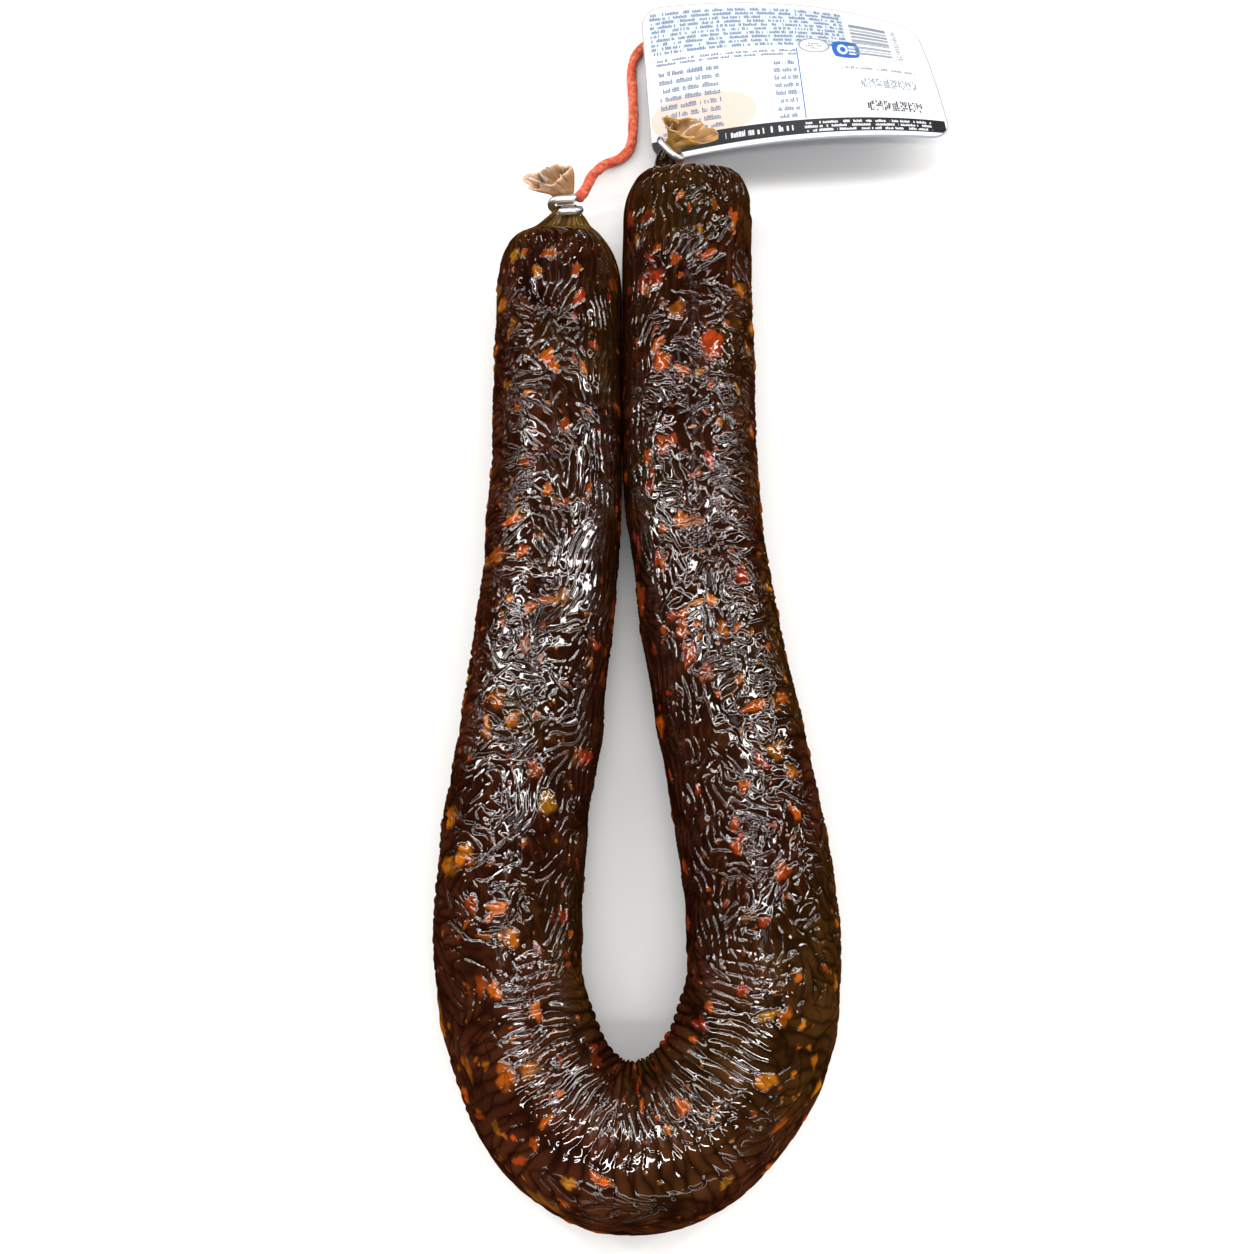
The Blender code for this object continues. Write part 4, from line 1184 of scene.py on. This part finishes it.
def printGroup():    # where a field of print is inked
    sockets = {**dict.fromkeys(("Place", "Middle", "Half"), "Vector"), **dict.fromkeys(printValues, "Float")}
    group, given, shown = newGroup("printField", sockets, {"Mask": "Float"})

    def maths(operation, *values):
        return mathNode(group, operation, *values)

    def counted(distance, size):    # how many of that size fit into a distance
        return maths("DIVIDE", distance, maths("MAXIMUM", size, printLook["least"]))

    away = vectorNode(group, "SUBTRACT", given["Place"], given["Middle"])
    share = vectorNode(group, "ABSOLUTE", vectorNode(group, "DIVIDE", away, given["Half"]))
    split = addNode(group, "ShaderNodeSeparateXYZ", {0: share}).outputs
    square = maths("MAXIMUM", split[0], split[1])
    ring = lengthNode(group, share)
    rounded = maths("MULTIPLY_ADD", maths("SUBTRACT", ring, square), given["Round"], square)
    inside = maths("LESS_THAN", rounded, 1.0)
    corner = vectorNode(group, "ADD", away, given["Half"])
    spot = addNode(group, "ShaderNodeSeparateXYZ", {0: corner}).outputs
    lines = counted(spot[1], given["Pitch"])
    line = maths("FLOOR", lines)
    shift = addNode(group, "ShaderNodeTexWhiteNoise", {"W": line}, noise_dimensions="1D").outputs["Value"]
    shift = maths("MULTIPLY", shift, maths("GREATER_THAN", given["Pitch"], printLook["dotted"]))
    letters = maths("ADD", counted(spot[0], given["Letter"]), maths("MULTIPLY", shift, printLook["shift"][0]))
    cell = addNode(group, "ShaderNodeCombineXYZ", {0: maths("FLOOR", letters), 1: line})
    chance = addNode(group, "ShaderNodeTexWhiteNoise", {"Vector": cell.outputs[0]}, noise_dimensions="2D")
    chance = chance.outputs["Value"]
    tall = maths("MULTIPLY", maths("MULTIPLY_ADD", chance, *printLook["tall"]), given["Inked"])
    onLine = maths("GREATER_THAN", maths("ADD", maths("FRACT", lines), tall), 1.0)
    inLetter = maths("LESS_THAN", maths("FRACT", letters), printLook["letter"])
    inLetter = maths("MAXIMUM", inLetter, maths("GREATER_THAN", given["Letter"], printLook["rule"]))
    words = counted(maths("MULTIPLY_ADD", shift, printLook["shift"][1], spot[0]), given["Word"])
    inWord = maths("LESS_THAN", maths("FRACT", words), printLook["word"])
    inWord = maths("MAXIMUM", inWord, maths("LESS_THAN", given["Word"], printLook["unset"]))
    typed = maths("MULTIPLY", onLine, maths("LESS_THAN", chance, given["Printed"]))
    typed = maths("MULTIPLY", typed, maths("MULTIPLY", inLetter, inWord))
    solid = maths("LESS_THAN", given["Pitch"], printLook["unset"])
    group.links.new(maths("MULTIPLY", inside, maths("MAXIMUM", typed, solid)), shown["Mask"])
    return group


regions = {    # of the print, each with its own material: left, top, right, bottom in mm
    "printHead": (-1, -1, 57.2, 17.2), "printTable": (-1, 17.2, 42.0, 43.2),
    "printFoot": (-1, 43.2, 81, 51), "printMarks": (42.0, 13.4, 81, 43.2), "printBars": (57.2, -1, 81, 13.4),
}


def regionOf(x, y):    # which region of print holds a place in mm from the card's upper left corner
    for number, (left, top, right, bottom) in enumerate(regions.values()):
        if left <= x < right and top <= y < bottom:
            return number
    return 0


def cardOutline(tree, place):    # the fine line round the card
    middle = (0.5 * card["length"], 0.5 * card["height"], 0.0)
    reach = (middle[0] - card["corner"], middle[1] - card["corner"], 0.0)
    away = vectorNode(tree, "ABSOLUTE", vectorNode(tree, "SUBTRACT", place, middle))
    past = vectorNode(tree, "MAXIMUM", vectorNode(tree, "SUBTRACT", away, reach), (0.0, 0.0, 0.0))
    return mathNode(tree, "GREATER_THAN", lengthNode(tree, past), card["corner"] - card["outline"])


def cardMaterial(name, sockets):
    made, tree, shader = newMaterial(name, sockets)
    addGrain(tree, shader, *card["grain"])
    return made, tree, shader


def printedMaterial(name, region):
    made, tree, shader = cardMaterial(name, card["sockets"])
    flat = addNode(tree, "ShaderNodeTexCoord").outputs["UV"]
    place = vectorNode(tree, "MULTIPLY", flat, (card["length"], card["height"], 0.0))
    colour = ink["white"]
    for left, top, right, bottom, tint, *rest in prints:
        if right < region[0] or left > region[2] or bottom < region[1] or top > region[3]:
            continue
        values = dict(zip(printValues, rest))
        values["Place"] = place
        values["Middle"] = (0.5 * (left + right), 0.5 * (top + bottom), 0.0)
        values["Half"] = (0.5 * (right - left), 0.5 * (bottom - top), 1.0)
        mask = addNode(tree, "ShaderNodeGroup", values, node_tree=printField)
        colour = mixColour(tree, mask.outputs["Mask"], colour, ink[tint])
    colour = mixColour(tree, cardOutline(tree, place), colour, ink["edge"])
    tree.links.new(colour, shader.inputs["Base Color"])
    return made


printField = printGroup()
piece = layCard()
plainCard = cardMaterial("plainCard", {**card["sockets"], "Base Color": (*ink["rule"], 1.0)})[0]
settlePiece(piece, "label", plainCard)
for name, region in regions.items():
    piece.data.materials.append(printedMaterial(name, region))
places = piece.data.uv_layers.active.data
for face in piece.data.polygons:
    if face.normal.z < card["frontFrom"]:    # the plain back and rim
        continue
    middle = sum((places[i].uv for i in face.loop_indices), Vector((0.0, 0.0))) / len(face.vertices)
    face.material_index = 1 + regionOf(middle.x * card["length"], middle.y * card["height"])
printed = sum(face.material_index > 0 for face in piece.data.polygons)
print("printed faces:", printed, "of", len(piece.data.polygons))
print("label made")

stage = {"size": 8.0, "sockets": {"Base Color": (0.64, 0.64, 0.64, 1.0), "Roughness": 0.8}}

bpy.ops.mesh.primitive_plane_add(size=stage["size"], location=(0.0, 0.0, 0.0))
floor = bpy.context.object
floor.name = "floor"
floor.visible_glossy = False    # keeps the wet skin dark between its highlights
floor.data.materials.append(newMaterial("paleFloor", stage["sockets"])[0])
